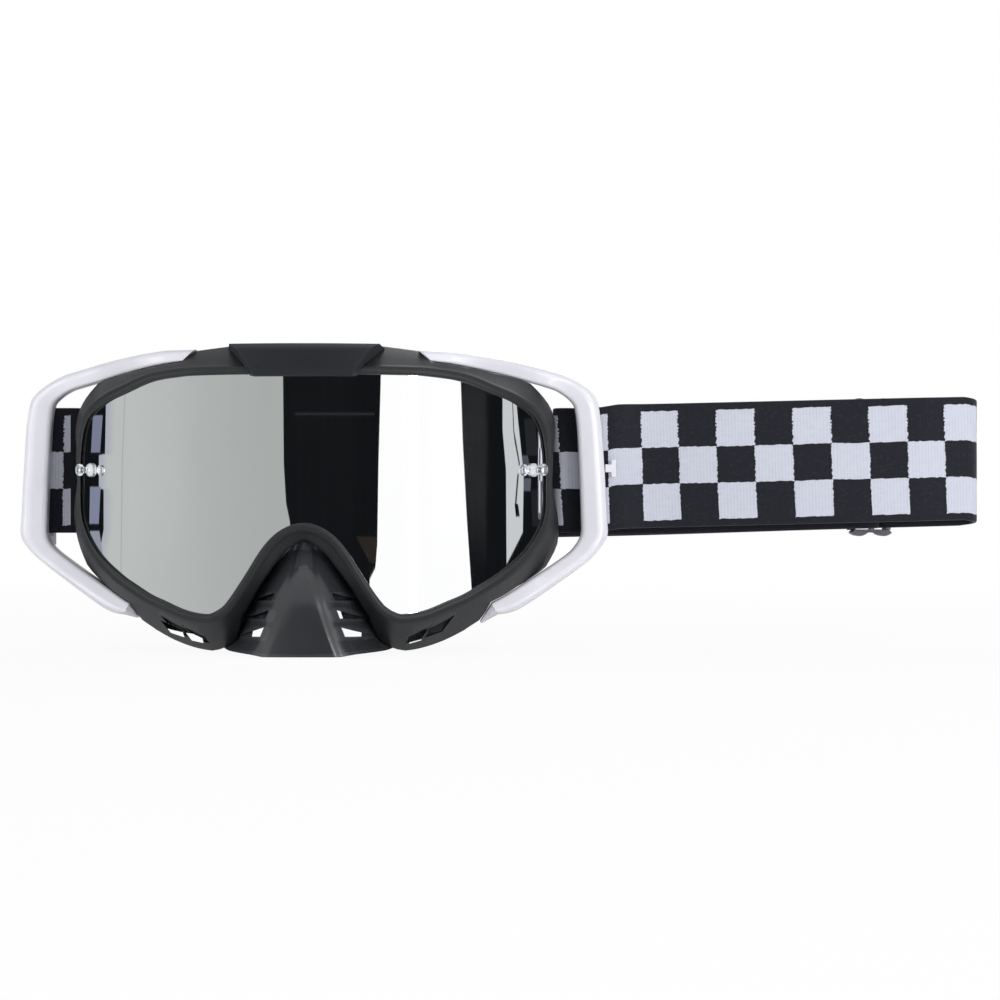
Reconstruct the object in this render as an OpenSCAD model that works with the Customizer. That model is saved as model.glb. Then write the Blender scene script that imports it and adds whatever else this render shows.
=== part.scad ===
/* [Lens and opening] */
// Radius of the lens cylinder, whose axis is vertical
lens_r = 100; // [96:1:130]
// Thickness of the lens sheet
lens_t = 1.6; // [1.2:0.1:2.2]
// How far the lens runs under the frame lip
lens_lap = 2.6; // [1.6:0.2:3]
// Width of the lens opening
opening_w = 160.6; // [150:0.2:164]
// Height of the opening above the post line
opening_top = 31; // [28:0.5:36]
// Depth of the opening lobes below the post line
opening_drop = 48; // [45:0.2:52]
// Depth of the nose arch edge below the post line
arch_drop = 17.8; // [14:0.2:20]
// Half distance between the lowest points of the two lobes
lobe_x = 32.5; // [30:0.5:36]

/* [Frame] */
// Width of the frame band over the brow
brow_band = 8.8; // [7.6:0.2:10]
// Width of the band under the upper outrigger blade
seat_band = 5; // [4.4:0.2:6]
// Width of the band at the upper corner
corner_band = 9; // [8:0.2:10]
// Width of the band at the temple
temple_band = 2.2; // [2:0.1:3.4]
// Width of the band beside the lower outrigger blade
jaw_band = 8; // [7:0.2:9]
// Width of the band below the cheek
cheek_band = 11.8; // [10.8:0.2:13]
// Width of the band at the lowest lobe
lobe_band = 13.4; // [12.4:0.2:14.4]
// Width of the nose arch band
arch_band = 6.2; // [5.4:0.2:7]
// Width of the raised lip round the lens
rim_w = 3.2; // [2.4:0.2:3.8]
// Height of the lip in front of the lens
lip_h = 1.9; // [1.4:0.1:2.6]
// Wall of the frame shell
wall = 2.2; // [1.8:0.1:2.6]
// Depth of the frame at the brow, lens apex to foam flange
frame_depth = 28; // [25:0.5:32]
// Radius of the face side, seen from above
face_r = 125; // [118:1:150]
// Width of the foam flange
flange_w = 7.5; // [6:0.5:9]
// How far the flank flares out towards the face side at the corners
flank_flare = 1.4; // [0.4:0.2:2]
// How far the flank swells out below the strap at the temples
temple_swell = 1.5; // [0:0.1:1.8]
// How far the nose arch is cut back from the face side
nose_relief = 10; // [6:0.5:12]

/* [Face foam] */
// Thickness of the open foam next to the frame
foam_base_t = 7; // [5:0.5:8]
// Thickness of the middle foam
foam_mid_t = 4.6; // [3:0.2:6]
// Thickness of the fleece lining
fleece_t = 3; // [2:0.2:4]
// Width of the foam next to the frame
foam_w = 9.5; // [8:0.5:11]

/* [Brow plate] */
// Half width of the plate along its top edge
plate_top = 24.5; // [22:0.5:27]
// Half width of the plate along its bottom edge
plate_bottom = 17.8; // [14:0.2:20]
// Height of the plate above the frame band
plate_rise = 1.4; // [1:0.1:2]
// Depth of the plate back over the frame
plate_depth = 15; // [12:0.5:18]

/* [Outriggers] */
// Width of the blade that lies on the frame
blade_w = 4.2; // [3.4:0.2:5]
// How much wider a blade is where it leaves the frame
blade_swell = 1.8; // [1:0.2:2.4]
// How much wider the lower blade is than the upper one
lower_spread = 0.9; // [0:0.1:1.2]
// Depth of the blades, front to back
blade_d = 9; // [7:0.5:11]
// Distance from the side of the opening to the inner edge of the bar
bar_gap = 13.7; // [12.7:0.2:17.7]
// How far the strap draws the right bar in
bar_pull = 2; // [0:0.2:2.4]
// Width of the vertical bar
bar_w = 9.6; // [8:0.2:11]
// Depth of the vertical bar, front to back
bar_d = 7; // [6:0.2:8]
// Depth of the bar behind the lens apex
bar_y = 53.2; // [52:0.2:56]
// Height of the straight length of the bar above the post line
bar_top = 23; // [22:0.5:25]
// Depth of the straight length of the bar below the post line
bar_drop = 23.4; // [22.6:0.2:25]

/* [Strap] */
// Width of the webbing
strap_w = 44.4; // [38:0.2:46]
// Thickness of the webbing
strap_t = 1.5; // [1:0.1:1.6]
// Distance from the mid plane to the fold of the strap
fold_x = 237; // [228:0.5:300]
// Depth of the back run behind the lens apex
back_y = 82; // [81:0.5:86]
// Place of the slider along the back run
slider_x = 199; // [190:1:202]
// Travel of the slider towards the left outrigger
slider_in = 90; // [60:1:92]
// Travel of the slider towards the fold
slider_out = 20; // [10:1:21]

/* [Tear-off posts] */
// Distance from the mid plane to the foot of a post
post_x = 75.8; // [70:0.2:76]
// Radius of the post head
post_head_r = 2.05; // [1.8:0.05:2.4]
// Radius of the post neck
post_neck_r = 1.05; // [0.9:0.05:1.3]
// Height of the post head above the lens
post_h = 5.4; // [4.6:0.1:6.4]

/* [Nose guard] */
// Depth of the guard's lower edge below the post line
guard_drop = 61.4; // [60:0.2:68]
// How far the guard's lower edge stands in front of the lens apex
guard_nose = 8; // [4:0.5:12]
// Thickness of the guard
guard_t = 1.8; // [1.4:0.1:2.2]
// Half width of the centre facet at the lower edge
facet_w = 11.6; // [9:0.2:12]
// Rise of the guard's lower edge towards its sides
guard_lift = 1.3; // [0.6:0.1:1.8]

/* [Fits] */
// Gap between pieces that are seated on each other
seat_gap = 0.3; // [0.2:0.05:0.4]
// Gap between the nose guard and the arch, seen from the front
guard_gap = 0.6; // [0.5:0.05:1]
// Gap between the lens and its groove
lens_gap = 0.15; // [0.1:0.05:0.25]
// Gap round a tongue in its socket
tongue_gap = 0.35; // [0.3:0.05:0.5]

/* [Hidden] */
$fn = 48;

half_w = opening_w / 2;
bar_x = half_w + bar_gap;
bar_out = bar_x + bar_w;
foam_t = foam_base_t + foam_mid_t + fleece_t + 3 * seat_gap;
seat_y = frame_depth + foam_t;

// Outline of the opening, with the band outside it: upper edge, side and lobe, nose arch
function up(u, v, band) = [[u * half_w, v * opening_top], band];
function low(u, v, band) = [[u * half_w, -v * opening_drop], band];
function arch(u, v, band) =
    [[u * lobe_x, -arch_drop - v * (opening_drop - arch_drop)], band];
plate_end = plate_top / half_w;
rim = [
    up(0, 1, brow_band), up(0.25, 1, brow_band), up(plate_end - 0.003, 1, brow_band),
    up(plate_end + 0.007, 1, brow_band + 1.5), up(0.465, 0.996, brow_band + 0.1),
    up(0.514, 0.99, seat_band), up(0.65, 0.945, seat_band),
    up(0.77, 0.835, (seat_band + corner_band) / 2), up(0.88, 0.72, corner_band),
    up(0.962, 0.55, corner_band - 2.4), up(0.995, 0.25, temple_band + 1),
    low(1, 0.085, temple_band), low(0.99, 0.36, (temple_band + jaw_band) / 2 - 0.4),
    low(0.915, 0.576, jaw_band - 0.1), low(0.803, 0.734, jaw_band - 0.7),
    low(0.722, 0.815, jaw_band - 1.1), low(0.66, 0.872, cheek_band - 1.2),
    low(0.6, 0.912, cheek_band), low(0.498, 0.977, cheek_band + 0.7),
    arch(1, 1, lobe_band), arch(0.9, 0.966, lobe_band - 1.8),
    arch(0.8, 0.885, arch_band + 0.4), arch(0.615, 0.601, arch_band - 0.4),
    arch(0.4, 0.247, arch_band + 0.4), arch(0.215, 0.068, arch_band + 0.4),
    arch(0, 0, arch_band - 0.5)];

function unit(v) = v / max(norm(v), 0.000001);
function chord(p, i) =
    i == 0 ? unit([p[1][0] - p[0][0], 0]) :
    i == len(p) - 1 ? unit([p[i][0] - p[i - 1][0], 0]) :
    unit(p[i + 1] - p[i - 1]);
function curve(a, b, ta, tb, t) =
    (2 * t ^ 3 - 3 * t ^ 2 + 1) * a + (t ^ 3 - 2 * t ^ 2 + t) * ta
    + (3 * t ^ 2 - 2 * t ^ 3) * b + (t ^ 3 - t ^ 2) * tb;
function mix(a, b, t) = a + (b - a) * t;

// Stations round the opening: [x, z, outward x, outward z, band]
steps = 2;
rim_p = [for (r = rim) r[0]];
function rim_at(i, t) =
    let (span = norm(rim_p[i + 1] - rim_p[i]))
    curve(rim_p[i], rim_p[i + 1], chord(rim_p, i) * span, chord(rim_p, i + 1) * span, t);
rim_line = [
    for (i = [0 : len(rim) - 2]) for (k = [0 : steps - 1])
        [rim_at(i, k / steps), mix(rim[i][1], rim[i + 1][1], k / steps)],
    rim[len(rim) - 1]];
rim_q = [for (r = rim_line) r[0]];
half = [for (i = [0 : len(rim_line) - 1])
    let (d = chord(rim_q, i), p = rim_q[i])
    [p[0], p[1], -d[1], d[0], rim_line[i][1]]];
ring = concat(half, [for (i = [len(half) - 2 : -1 : 1])
    [-half[i][0], half[i][1], -half[i][2], half[i][3], half[i][4]]]);

// Depth of the lens front and of the face side behind the lens apex
function shell_y(x, inset) = lens_r - sqrt((lens_r - inset) ^ 2 - x ^ 2);
function lens_y(x) = shell_y(x, 0);
function face_y(x, z) = frame_depth + face_r - sqrt(face_r ^ 2 - x ^ 2)
    - nose_relief * exp(-(x / (lobe_x / 2)) ^ 2) / (1 + exp((z + arch_drop - 6) / 3));

// A point n outside the opening, measured from the lens front or from the face side
function by_lens(s, n, off) =
    let (x = s[0] + n * s[2], z = s[1] + n * s[3]) [x, lens_y(x) + off, z];
function by_shell(s, n, inset) =
    let (x = s[0] + n * s[2], z = s[1] + n * s[3]) [x, shell_y(x, inset), z];
function by_face(s, n, off) =
    let (x = s[0] + n * s[2], z = s[1] + n * s[3]) [x, face_y(x, z) + off, z];

function rim_of(s) = min(rim_w, 0.72 * s[4]);
function lap_of(s) = min(lens_lap, 0.45 * s[4]);
function run_of(s) = 1.6 * (s[4] - rim_of(s));
function part_of(v, from, span) = min(1, max(0, (v - from) / span));
// The flank flares at the four corners and keeps clear of the strap beside the temples
flare_x = 0.72 * half_w;
flare_run_x = half_w / 8;
flare_z = 0.65 * opening_top;
flare_run_z = opening_top / 4;
hanger_reach = 8.9;
hanger_in = bar_x - hanger_reach;
layer = strap_t + seat_gap;
wrap_clear = 0.7;
temple_x = hanger_in - layer - wrap_clear;
temple_from = 0.87 * half_w;
temple_z = strap_w / 2 + 2;
swell_z = -0.42 * opening_drop;
swell_run = 0.17 * opening_drop;
function flare_of(s) =
    part_of(abs(s[0]), flare_x, flare_run_x) * part_of(abs(s[1]), flare_z, flare_run_z);
function swell_of(s) = abs(s[0]) > temple_from ?
    temple_swell * exp(-((s[1] - swell_z) / swell_run) ^ 2) : 0;
function strap_limit(s) = abs(s[0]) > temple_from && abs(s[1]) < temple_z ?
    (temple_x - abs(s[0])) / abs(s[2]) : s[4] + flange_w;
function back_of(s) = let (f = flare_of(s))
    min(s[4] - 0.6 + flank_flare * f - 0.75 * max(0, s[4] - 7) * (1 - f), strap_limit(s));
shelf_t = 2;
shelf_in = 0.4;

// A skin over rings of points, each ring a closed section
module skin(rings, closed = false) {
    m = len(rings[0]);
    n = len(rings);
    last = closed ? n - 1 : n - 2;
    sides = [for (i = [0 : last]) for (j = [0 : m - 1])
        let (a = i * m + j, b = i * m + (j + 1) % m)
        let (c = ((i + 1) % n) * m + (j + 1) % m, d = ((i + 1) % n) * m + j)
        each [[a, b, c], [a, c, d]]];
    // each end is a strip between the two sides of the section
    ends = closed ? [] : [for (j = [0 : m / 2 - 2])
        let (a = j, b = j + 1, c = m - 2 - j, d = m - 1 - j, e = (n - 1) * m)
        each [[c, b, a], [d, c, a], [e + a, e + b, e + c], [e + a, e + c, e + d]]];
    polyhedron([for (r = rings) each r], concat(sides, ends), convexity = 10);
}

module in_place() translate([0, -seat_y, 0]) children();
module both_sides() { children(); mirror([1, 0, 0]) children(); }

// Frame: lip, flank, face flange and lens groove, swept round the opening
function inner_wall(s, n, off, inset) =
    let (a = by_lens(s, n, off), b = by_shell(s, n, inset)) a[1] > b[1] ? a : b;
function flank_mid(s, front, back) =
    mix(front, back, 0.7) + swell_of(s) * [s[2], 0, s[3]];
function frame_section(s) =
    let (rim_n = rim_of(s), lap = lap_of(s), run = run_of(s), out = back_of(s))
    let (front = by_lens(s, s[4], run), back = by_face(s, out, 0))
    let (wall_n = s[4] - wall, seat = lens_t + lens_gap)
    let (shelf_n = min(lap + 2 * lens_gap, max(wall_n, shelf_in + 0.1)))
    let (lap_n = lap + lens_gap)
    [
        by_lens(s, 0, -0.7 * lip_h), by_lens(s, 0.45 * rim_n, -lip_h),
        by_lens(s, 0.85 * rim_n, -0.5 * lip_h), by_lens(s, rim_n, 0.1),
        front, flank_mid(s, front, back), back,
        by_face(s, out - flange_w / 2, 0), by_face(s, out - flange_w, 0),
        by_face(s, out - flange_w, -wall),
        by_face(s, out - wall, -wall - 0.4),
        inner_wall(s, wall_n, run + wall, seat + shelf_t + wall),
        by_shell(s, shelf_n, seat + shelf_t), by_shell(s, shelf_in, seat + shelf_t),
        by_shell(s, shelf_in, seat), by_shell(s, lap_n, seat),
        by_shell(s, lap_n, -lens_gap), by_shell(s, 0, -lens_gap)];

// Sockets in the nose arch for the guard's three tongues
arch_low = arch_drop + arch_band - 0.5;
tongue_t = 1.6;
tongue_y = frame_depth - nose_relief - 9.8;
tongue_w = 8;
side_tongue_x = 0.46 * lobe_x;
side_tongue_w = 3.6;
side_tongue_y = tongue_y + 6.4;
side_tongue_z = arch_low + 0.5 * (opening_drop - arch_drop);
tongue_show = 3.5;
side_tongue_h = 10;

module sockets(extra) {
    w = tongue_w + 2 * extra;
    t = tongue_t + 2 * extra;
    translate([-w / 2, tongue_y - t / 2, -arch_low - tongue_show])
        cube([w, t, tongue_show + wall + tongue_t + extra]);
    both_sides() translate([side_tongue_x - side_tongue_w / 2 - extra,
        side_tongue_y - t / 2, -side_tongue_z - tongue_show])
        cube([side_tongue_w + 2 * extra, t, side_tongue_h + extra]);
}

// Pairs of slanted vent windows in the lower flank, given from the lobe's lowest point
vent_reach = frame_depth + 4;
outer_window = [[16, -2.6], [8.8, -5.8], [7.9, -9.4], [13.4, -7.2]];
inner_window = [[7.2, -6.8], [1.8, -8.8], [1, -11], [6.2, -10.2]];
module window(points, reach)
    translate([lobe_x, reach, -opening_drop]) rotate([90, 0, 0])
        linear_extrude(reach + 10) polygon(points);

// Slots through the top flank, under the filter foam
top_slot_w = 11;
top_slot_d = 4.6;
top_slot_pitch = top_slot_w + 3.4;
module top_slots()
    for (k = [-2 : 2])
        translate([k * top_slot_pitch - top_slot_w / 2, frame_depth - 2 * top_slot_d, opening_top])
            cube([top_slot_w, top_slot_d, brow_band + 4]);

module main_frame() color("#333537") in_place() difference() {
    skin([for (s = ring) frame_section(s)], closed = true);
    sockets(tongue_gap);
    both_sides() window(outer_window, vent_reach);
    both_sides() window(inner_window, vent_reach - 4);
    top_slots();
}

// Lens: cylinder sheet cut to the outline of the groove
module lens_outline() polygon([for (s = ring)
    [s[0] + lap_of(s) * s[2], s[1] + lap_of(s) * s[3]]]);
module lens() color("#b4b8ba") in_place() difference() {
    intersection() {
        translate([0, lens_r, -opening_drop - lobe_band])
            difference() {
                cylinder(r = lens_r, h = 2 * (opening_drop + lobe_band), $fn = 240);
                translate([0, 0, -1]) cylinder(r = lens_r - lens_t,
                    h = 2 * (opening_drop + lobe_band) + 2, $fn = 240);
            }
        translate([0, lens_r, 0]) rotate([90, 0, 0])
            linear_extrude(lens_r + 1) lens_outline();
    }
    for (side = [-1, 1]) on_lens(side) translate([0, 0, -lens_t - 1])
        cylinder(r = post_neck_r + 0.05, h = lens_t + 2);
}

// Clear mushroom posts, riveted through the lens
post_a = asin(post_x / lens_r);
module on_lens(side) translate([0, lens_r, 0]) rotate([0, 0, side * post_a])
    rotate([90, 0, 0]) translate([0, 0, lens_r]) children();
module post(side) color("#dfe5e8") in_place() on_lens(side) rotate_extrude() polygon([
    [0, -lens_t - 1], [post_head_r, -lens_t - 1], [post_head_r, -lens_t - 0.1],
    [post_neck_r, -lens_t - 0.1], [post_neck_r, 0.1], [post_head_r + 0.3, 0.1],
    [post_head_r + 0.3, 0.9], [post_neck_r + 0.4, 1.5], [post_neck_r, 1.9],
    [post_neck_r, post_h - 1.6], [post_head_r, post_h - 1.5],
    [post_head_r, post_h - 0.3], [post_head_r - 0.4, post_h], [0, post_h]]);
module tear_off_post_left() post(-1);
module tear_off_post_right() post(1);

// Brow plate: each point is [height over the opening, depth from the lens, bevel]
plate_section = [
    [-0.6, -lip_h - 0.7, 1.2], [2.2, -lip_h - 1.8, 1.6],
    [brow_band - 0.4, -lip_h - 1.4, 1.8], [brow_band + plate_rise, -0.6, 0.6],
    [brow_band + plate_rise, plate_depth, 0],
    [brow_band + seat_gap, plate_depth + 0.2, 0],
    [brow_band + seat_gap, run_of([0, 0, 0, 0, brow_band]), 0], [rim_w + 0.2, -0.4, 0],
    [0.45 * rim_w, -lip_h - seat_gap, 0], [-0.6, -0.7 * lip_h - seat_gap, 0]];
plate_steps = 14;
module brow_plate() color("#2b2d31") in_place() skin([for (k = [0 : plate_steps])
    let (u = 2 * k / plate_steps - 1)
    [for (p = plate_section)
        let (w = mix(plate_bottom, plate_top, p[0] / (brow_band + plate_rise)) - p[2])
        [u * w, lens_y(u * w) + p[1], opening_top + p[0]]]]);

// Outrigger: blade edge pairs on the frame, then round the bar
function seat_row(i, w) =
    let (s = half[i])
    let (a = by_lens(s, s[4] + seat_gap, 0), b = by_lens(s, s[4] + seat_gap + w, 0))
    [[a[0], a[2]], [b[0], b[2]], by_lens(s, s[4], run_of(s))[1] + 0.8, blade_d];
upper_from = 5 * steps;
upper_to = 8 * steps;
lower_from = 14 * steps;
lower_to = 15 * steps;
lower_end_w = 2.7;
// The upper blade ends in a slant along the step of the brow, the lower one in a short edge
upper_in = seat_row(upper_from, blade_w);
upper_out = seat_row(upper_from - steps, blade_w);
upper_tip = [upper_in[0], upper_out[0], upper_in[2], blade_d];
lower_tip = seat_row(lower_to + 1, lower_end_w);
upper_rows = [for (i = [upper_from + 1 : upper_to])
    seat_row(i, blade_w + blade_swell * (i - upper_from) / (upper_to - upper_from))];
lower_rows = [for (i = [lower_from : lower_to])
    seat_row(i, blade_w + lower_spread
        + blade_swell * (lower_to + 1 - i) / (lower_to - lower_from + 1))];
// Rows from the upper blade round the bar to the lower one: inner and outer edge, depths
function free_ctl(pull) = let (b = bar_x - pull, c = bar_out - pull, d = pull / 2) [
    upper_rows[len(upper_rows) - 1],
    [[b + d - 9.6, bar_top + 5.2], [b + pull - 7.2, bar_top + 10.6], bar_y - 7.5, blade_d],
    [[b - 3.2, bar_top + 1.8], [c + d - 7, bar_top + 5.8], bar_y - 2, bar_d + 1],
    [[b - 1.2, bar_top - 1.4], [c - 2.4, bar_top + 0.4], bar_y, bar_d],
    [[b, bar_top - 17], [c - 0.6, bar_top - 17], bar_y, bar_d],
    [[b + 0.9, 6 - bar_drop], [c + 0.7, 6 - bar_drop], bar_y, bar_d],
    [[b + 0.8, 1 - bar_drop], [c + 0.9, 1 - bar_drop], bar_y, bar_d],
    [[b - 0.6, -2 - bar_drop], [c - 1, -2.8 - bar_drop], bar_y - 0.6, bar_d],
    [[b + d - 5, -5.8 - bar_drop], [c + d - 7.4, -8.6 - bar_drop], bar_y - 4, bar_d + 1],
    lower_rows[0]];
function row_chord(rows, i, e) =
    let (a = max(i - 1, 0), b = min(i + 1, len(rows) - 1))
    unit(rows[b][e] - rows[a][e]);
function row_mix(rows, i, t) =
    [for (e = [0, 1])
        let (span = norm(rows[i + 1][e] - rows[i][e]))
        curve(rows[i][e], rows[i + 1][e],
            row_chord(rows, i, e) * span, row_chord(rows, i + 1, e) * span, t)];
row_steps = 3;
function free_rows(rows) = [for (i = [0 : len(rows) - 2]) for (k = [0 : row_steps - 1])
    if (i > 0 || k > 0)
        let (t = k / row_steps, e = row_mix(rows, i, t), a = rows[i], b = rows[i + 1])
        [e[0], e[1], mix(a[2], b[2], t), mix(a[3], b[3], t)]];
function outrigger_rows(pull) =
    concat([upper_tip], upper_rows, free_rows(free_ctl(pull)), lower_rows, [lower_tip]);
function between(r, n, y) = let (p = mix(r[0], r[1], n)) [p[0], r[2] + y, p[1]];
function arm_section(r) = [
    between(r, 0.04, 0.5), between(r, 0.14, 0), between(r, 0.62, 0.1), between(r, 0.8, 0.5),
    between(r, 1, 2.2), between(r, 1, r[3] - 0.8), between(r, 0.85, r[3]),
    between(r, 0.12, r[3]), between(r, 0.02, r[3] - 0.6), between(r, 0, 1.2)];
module outrigger(pull) color("#e4e3ea") in_place()
    skin([for (r = outrigger_rows(pull)) arm_section(r)]);
module outrigger_right() outrigger(bar_pull);
module outrigger_left() mirror([1, 0, 0]) outrigger(0);

// Hanger plate behind the bar, rounded where the strap loops round it
bar_clear = 0.5;
front_y = bar_y + bar_d + bar_clear + strap_t / 2;
hanger_y = front_y + strap_t / 2 + seat_gap;
hanger_t = 4.4;
hanger_out = bar_x + 3;
hanger_z = strap_w / 2 - seat_gap;
neck_w = 3;
ear_w = 3.4;
ear_z = strap_w / 2 + 0.7;
ear_h = 3.4;
module hanger() color("#b9b9bf") in_place() {
    translate([hanger_in + hanger_t / 2, hanger_y + hanger_t / 2, -hanger_z])
        cylinder(d = hanger_t, h = 2 * hanger_z);
    translate([hanger_in + hanger_t / 2, hanger_y, -hanger_z])
        cube([hanger_out - hanger_in - hanger_t / 2, hanger_t, 2 * hanger_z]);
    translate([hanger_out - neck_w, hanger_y, -ear_z - ear_h])
        cube([neck_w, hanger_t, 2 * (ear_z + ear_h)]);
    for (z = [-ear_z - ear_h, ear_z])
        translate([hanger_out - neck_w, bar_y + bar_d + seat_gap, z])
            cube([ear_w, hanger_y + hanger_t - bar_y - bar_d - seat_gap, ear_h]);
}
module strap_hanger_right() hanger();
module strap_hanger_left() mirror([1, 0, 0]) hanger();

// Nose guard: lofted over heights, from the arch to the lower edge
guard_top = arch_low + 3.4;
guard_side = 0.87 * lobe_x;
lobe_row = 19;
arch_from = lobe_row * steps;
arch_edge = [for (i = [len(half) - 1 : -1 : arch_from])
    let (p = by_lens(half[i], half[i][4], 0)) [-p[2], p[0]]];
function arch_x(drop) = min(lookup(drop, arch_edge) - guard_gap, guard_side);
function guard_v(drop) = (drop - guard_top) / (guard_drop - guard_top);
facet_top = 2.2;
facet_bow = 1.45;
function facet_x(v) = mix(facet_top, facet_w, v ^ facet_bow);
function facet_y(v) = tongue_y - 1.9 - (tongue_y - 1.9 + guard_nose) * v ^ 0.9;
function side_y(v) = tongue_y - 0.4 + 13 * v;
// The share of the way out along the side, and of the rise of the lower edge
guard_edge = [[0.3, 0.5], [0.6, 0.6], [0.85, 0.6], [1, 1]];
function guard_half(drop, lift) =
    let (v = guard_v(drop), a = facet_x(v), b = max(arch_x(drop - lift), a + 1.2))
    let (y = facet_y(v), w = side_y(v))
    [[0, y - 0.2, -drop], [a - 0.9, y, -drop], [a, y + 0.35, -drop],
        [a + 0.7, y + 1.2, -drop],
        for (q = guard_edge)
            [mix(a + 0.7, b, q[0]), mix(y + 1.2, w, q[0] ^ 1.1), -drop + lift * q[1]]];
function guard_ring(drop, lift) =
    let (h = guard_half(drop, lift), n = len(h) - 1)
    let (front = concat([for (i = [n : -1 : 1]) [-h[i][0], h[i][1], h[i][2]]], h))
    let (back = [for (i = [2 * n : -1 : 0])
        let (p = front[i]) [p[0] * (1 - guard_t / (2.4 * guard_side)), p[1] + guard_t, p[2]]])
    concat(front, back);
guard_levels = [0, 0.05, 0.12, 0.2, 0.3, 0.4, 0.5, 0.6, 0.7, 0.8, 0.9, 1];

// Louvres in each side: a hole at the inner end of a groove that runs out to a tip
louvre_w = 8;
louvre_top = [[0, 0], [louvre_w, -2.4]];
louvre_low = [[0.9, -2.6], [louvre_w - 0.8, -3.1]];
louvre_pitch = [1.6, -5.6];
louvre_from = [9.4, -arch_drop - 22.9];
groove_t = 0.45 * guard_t;
function louvre_cut(k, from, to) =
    [for (p = [[louvre_top, from], [louvre_top, to], [louvre_low, to], [louvre_low, from]])
        louvre_from + k * louvre_pitch + (1 + 0.12 * k) * mix(p[0][0], p[0][1], p[1])];
function side_depth(p) =
    let (v = guard_v(-p[1]), a = facet_x(v) + 0.7, b = arch_x(-p[1]))
    mix(facet_y(v) + 1.2, side_y(v), max(0, (p[0] - a) / (b - a)) ^ 1.1);
module louvre(points, depth) skin([
    for (front = [false, true])
        [for (p = points) [p[0], front ? -2 * guard_nose : side_depth(p) + depth, p[1]]]]);
module nose_guard() color("#3b3c3f") in_place() {
    difference() {
        skin([for (v = guard_levels) guard_ring(mix(guard_top, guard_drop, v), guard_lift * v ^ 6)]);
        both_sides() for (k = [0 : 2]) {
            louvre(louvre_cut(k, 0, 0.3 + 0.15 * k), 2 * guard_t);
            louvre(louvre_cut(k, 0.2, 1), groove_t);
        }
    }
    sockets(0);
}

// Face foam: three bonded layers on the flange, each with drawn-in sides
foam_edge = 0.6;
foam_inset = 0.4;
layer_step = 0.45;
fleece_crown = 0.8;
function foam_section(s, depth, t, side, crown) =
    let (a = back_of(s) - foam_inset + side, b = back_of(s) - foam_inset - foam_w - side)
    let (e = foam_edge)
    [
        by_face(s, a - e, depth), by_face(s, a, depth + t / 2), by_face(s, a - e, depth + t),
        by_face(s, (a + b) / 2, depth + t + crown), by_face(s, b + e, depth + t),
        by_face(s, b, depth + t / 2), by_face(s, b + e, depth),
        by_face(s, (a + b) / 2, depth)];
module foam(depth, t, side, crown) in_place()
    skin([for (s = ring) foam_section(s, depth, t, side, crown)], closed = true);
mid_y = foam_base_t + 2 * seat_gap;
fleece_y = mid_y + foam_mid_t + seat_gap;
module face_foam_base() color("#2a2b2d") foam(seat_gap, foam_base_t, 0, 0);
module face_foam_middle() color("#3c3d40") foam(mid_y, foam_mid_t, layer_step, 0);
module face_fleece() color("#1f2022")
    foam(fleece_y, fleece_t - fleece_crown, 2 * layer_step, fleece_crown);

// Filter strip behind the top vents: front and rear height under the wall, and thickness
strip_t = 2.6;
strip_sink = 0.8;
function strip_section(s, near) =
    let (a = s[4] - wall - 1.7 * seat_gap, b = back_of(s) - wall - seat_gap)
    [
        by_lens(s, a, near), by_face(s, b, -wall - strip_sink),
        by_face(s, b - strip_t, -wall - strip_sink), by_lens(s, a - strip_t, near)];
top_stations = concat([for (i = [2 * steps : -1 : 1])
    [-half[i][0], half[i][1], -half[i][2], half[i][3], half[i][4]]],
    [for (i = [0 : 2 * steps]) half[i]]);
module vent_foam_top() color("#4a4b4e") in_place()
    skin([for (s = top_stations) strip_section(s, run_of(s) + wall + 2 * strip_sink)]);

// Strap: ribbons of webbing along paths seen from above, each point [x, y, height]
function ribbon_ring(p, i) =
    let (a = p[max(i - 1, 0)], b = p[min(i + 1, len(p) - 1)])
    let (d = unit([b[0] - a[0], b[1] - a[1]]) * strap_t / 2, c = p[i], h = strap_w / 2)
    [
        [c[0] + d[1], c[1] - d[0], c[2] - h], [c[0] + d[1], c[1] - d[0], c[2] + h],
        [c[0] - d[1], c[1] + d[0], c[2] + h], [c[0] - d[1], c[1] + d[0], c[2] - h]];
module ribbon(path) skin([for (i = [0 : len(path) - 1]) ribbon_ring(path, i)]);
function turn(cx, cy, rx, ry, from, to, n) = [for (k = [0 : n])
    let (a = mix(from, to, k / n)) [cx + rx * cos(a), cy + ry * sin(a)]];
function lift(path, z) = [for (p = path) [p[0], p[1], z]];
hanger_rise = 0.2;
front_rise = 1.55;
front_slope = 0.0242;
rise_from = hanger_out + 0.6;
function front_z(x) = mix(hanger_rise, front_rise, part_of(x, rise_from, bar_w))
    + front_slope * max(0, x - bar_out);
slider_z = 1.6;
back_slope = 0.028;
foam_x = 80;
loop_x = -hanger_out - 0.5;
layer_end = 0.45;
function back_z(x) = x > foam_x ? slider_z + back_slope * (x - slider_x) :
    mix(back_z(foam_x + 0.001), hanger_rise, (foam_x - x) / (foam_x - loop_x));

wrap_x = hanger_in + hanger_t / 2;
wrap_y = hanger_y + hanger_t / 2;
wrap_r = hanger_t / 2 + seat_gap + strap_t / 2;
rear_y = wrap_y + wrap_r;
return_y = back_y - layer;
tail_y = return_y - layer;
fold_r = 4.6;
fold_c = fold_x - strap_t / 2 - fold_r;
fold_y = back_y - 2 * fold_r;
run_in = bar_out + 11.4;

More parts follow.
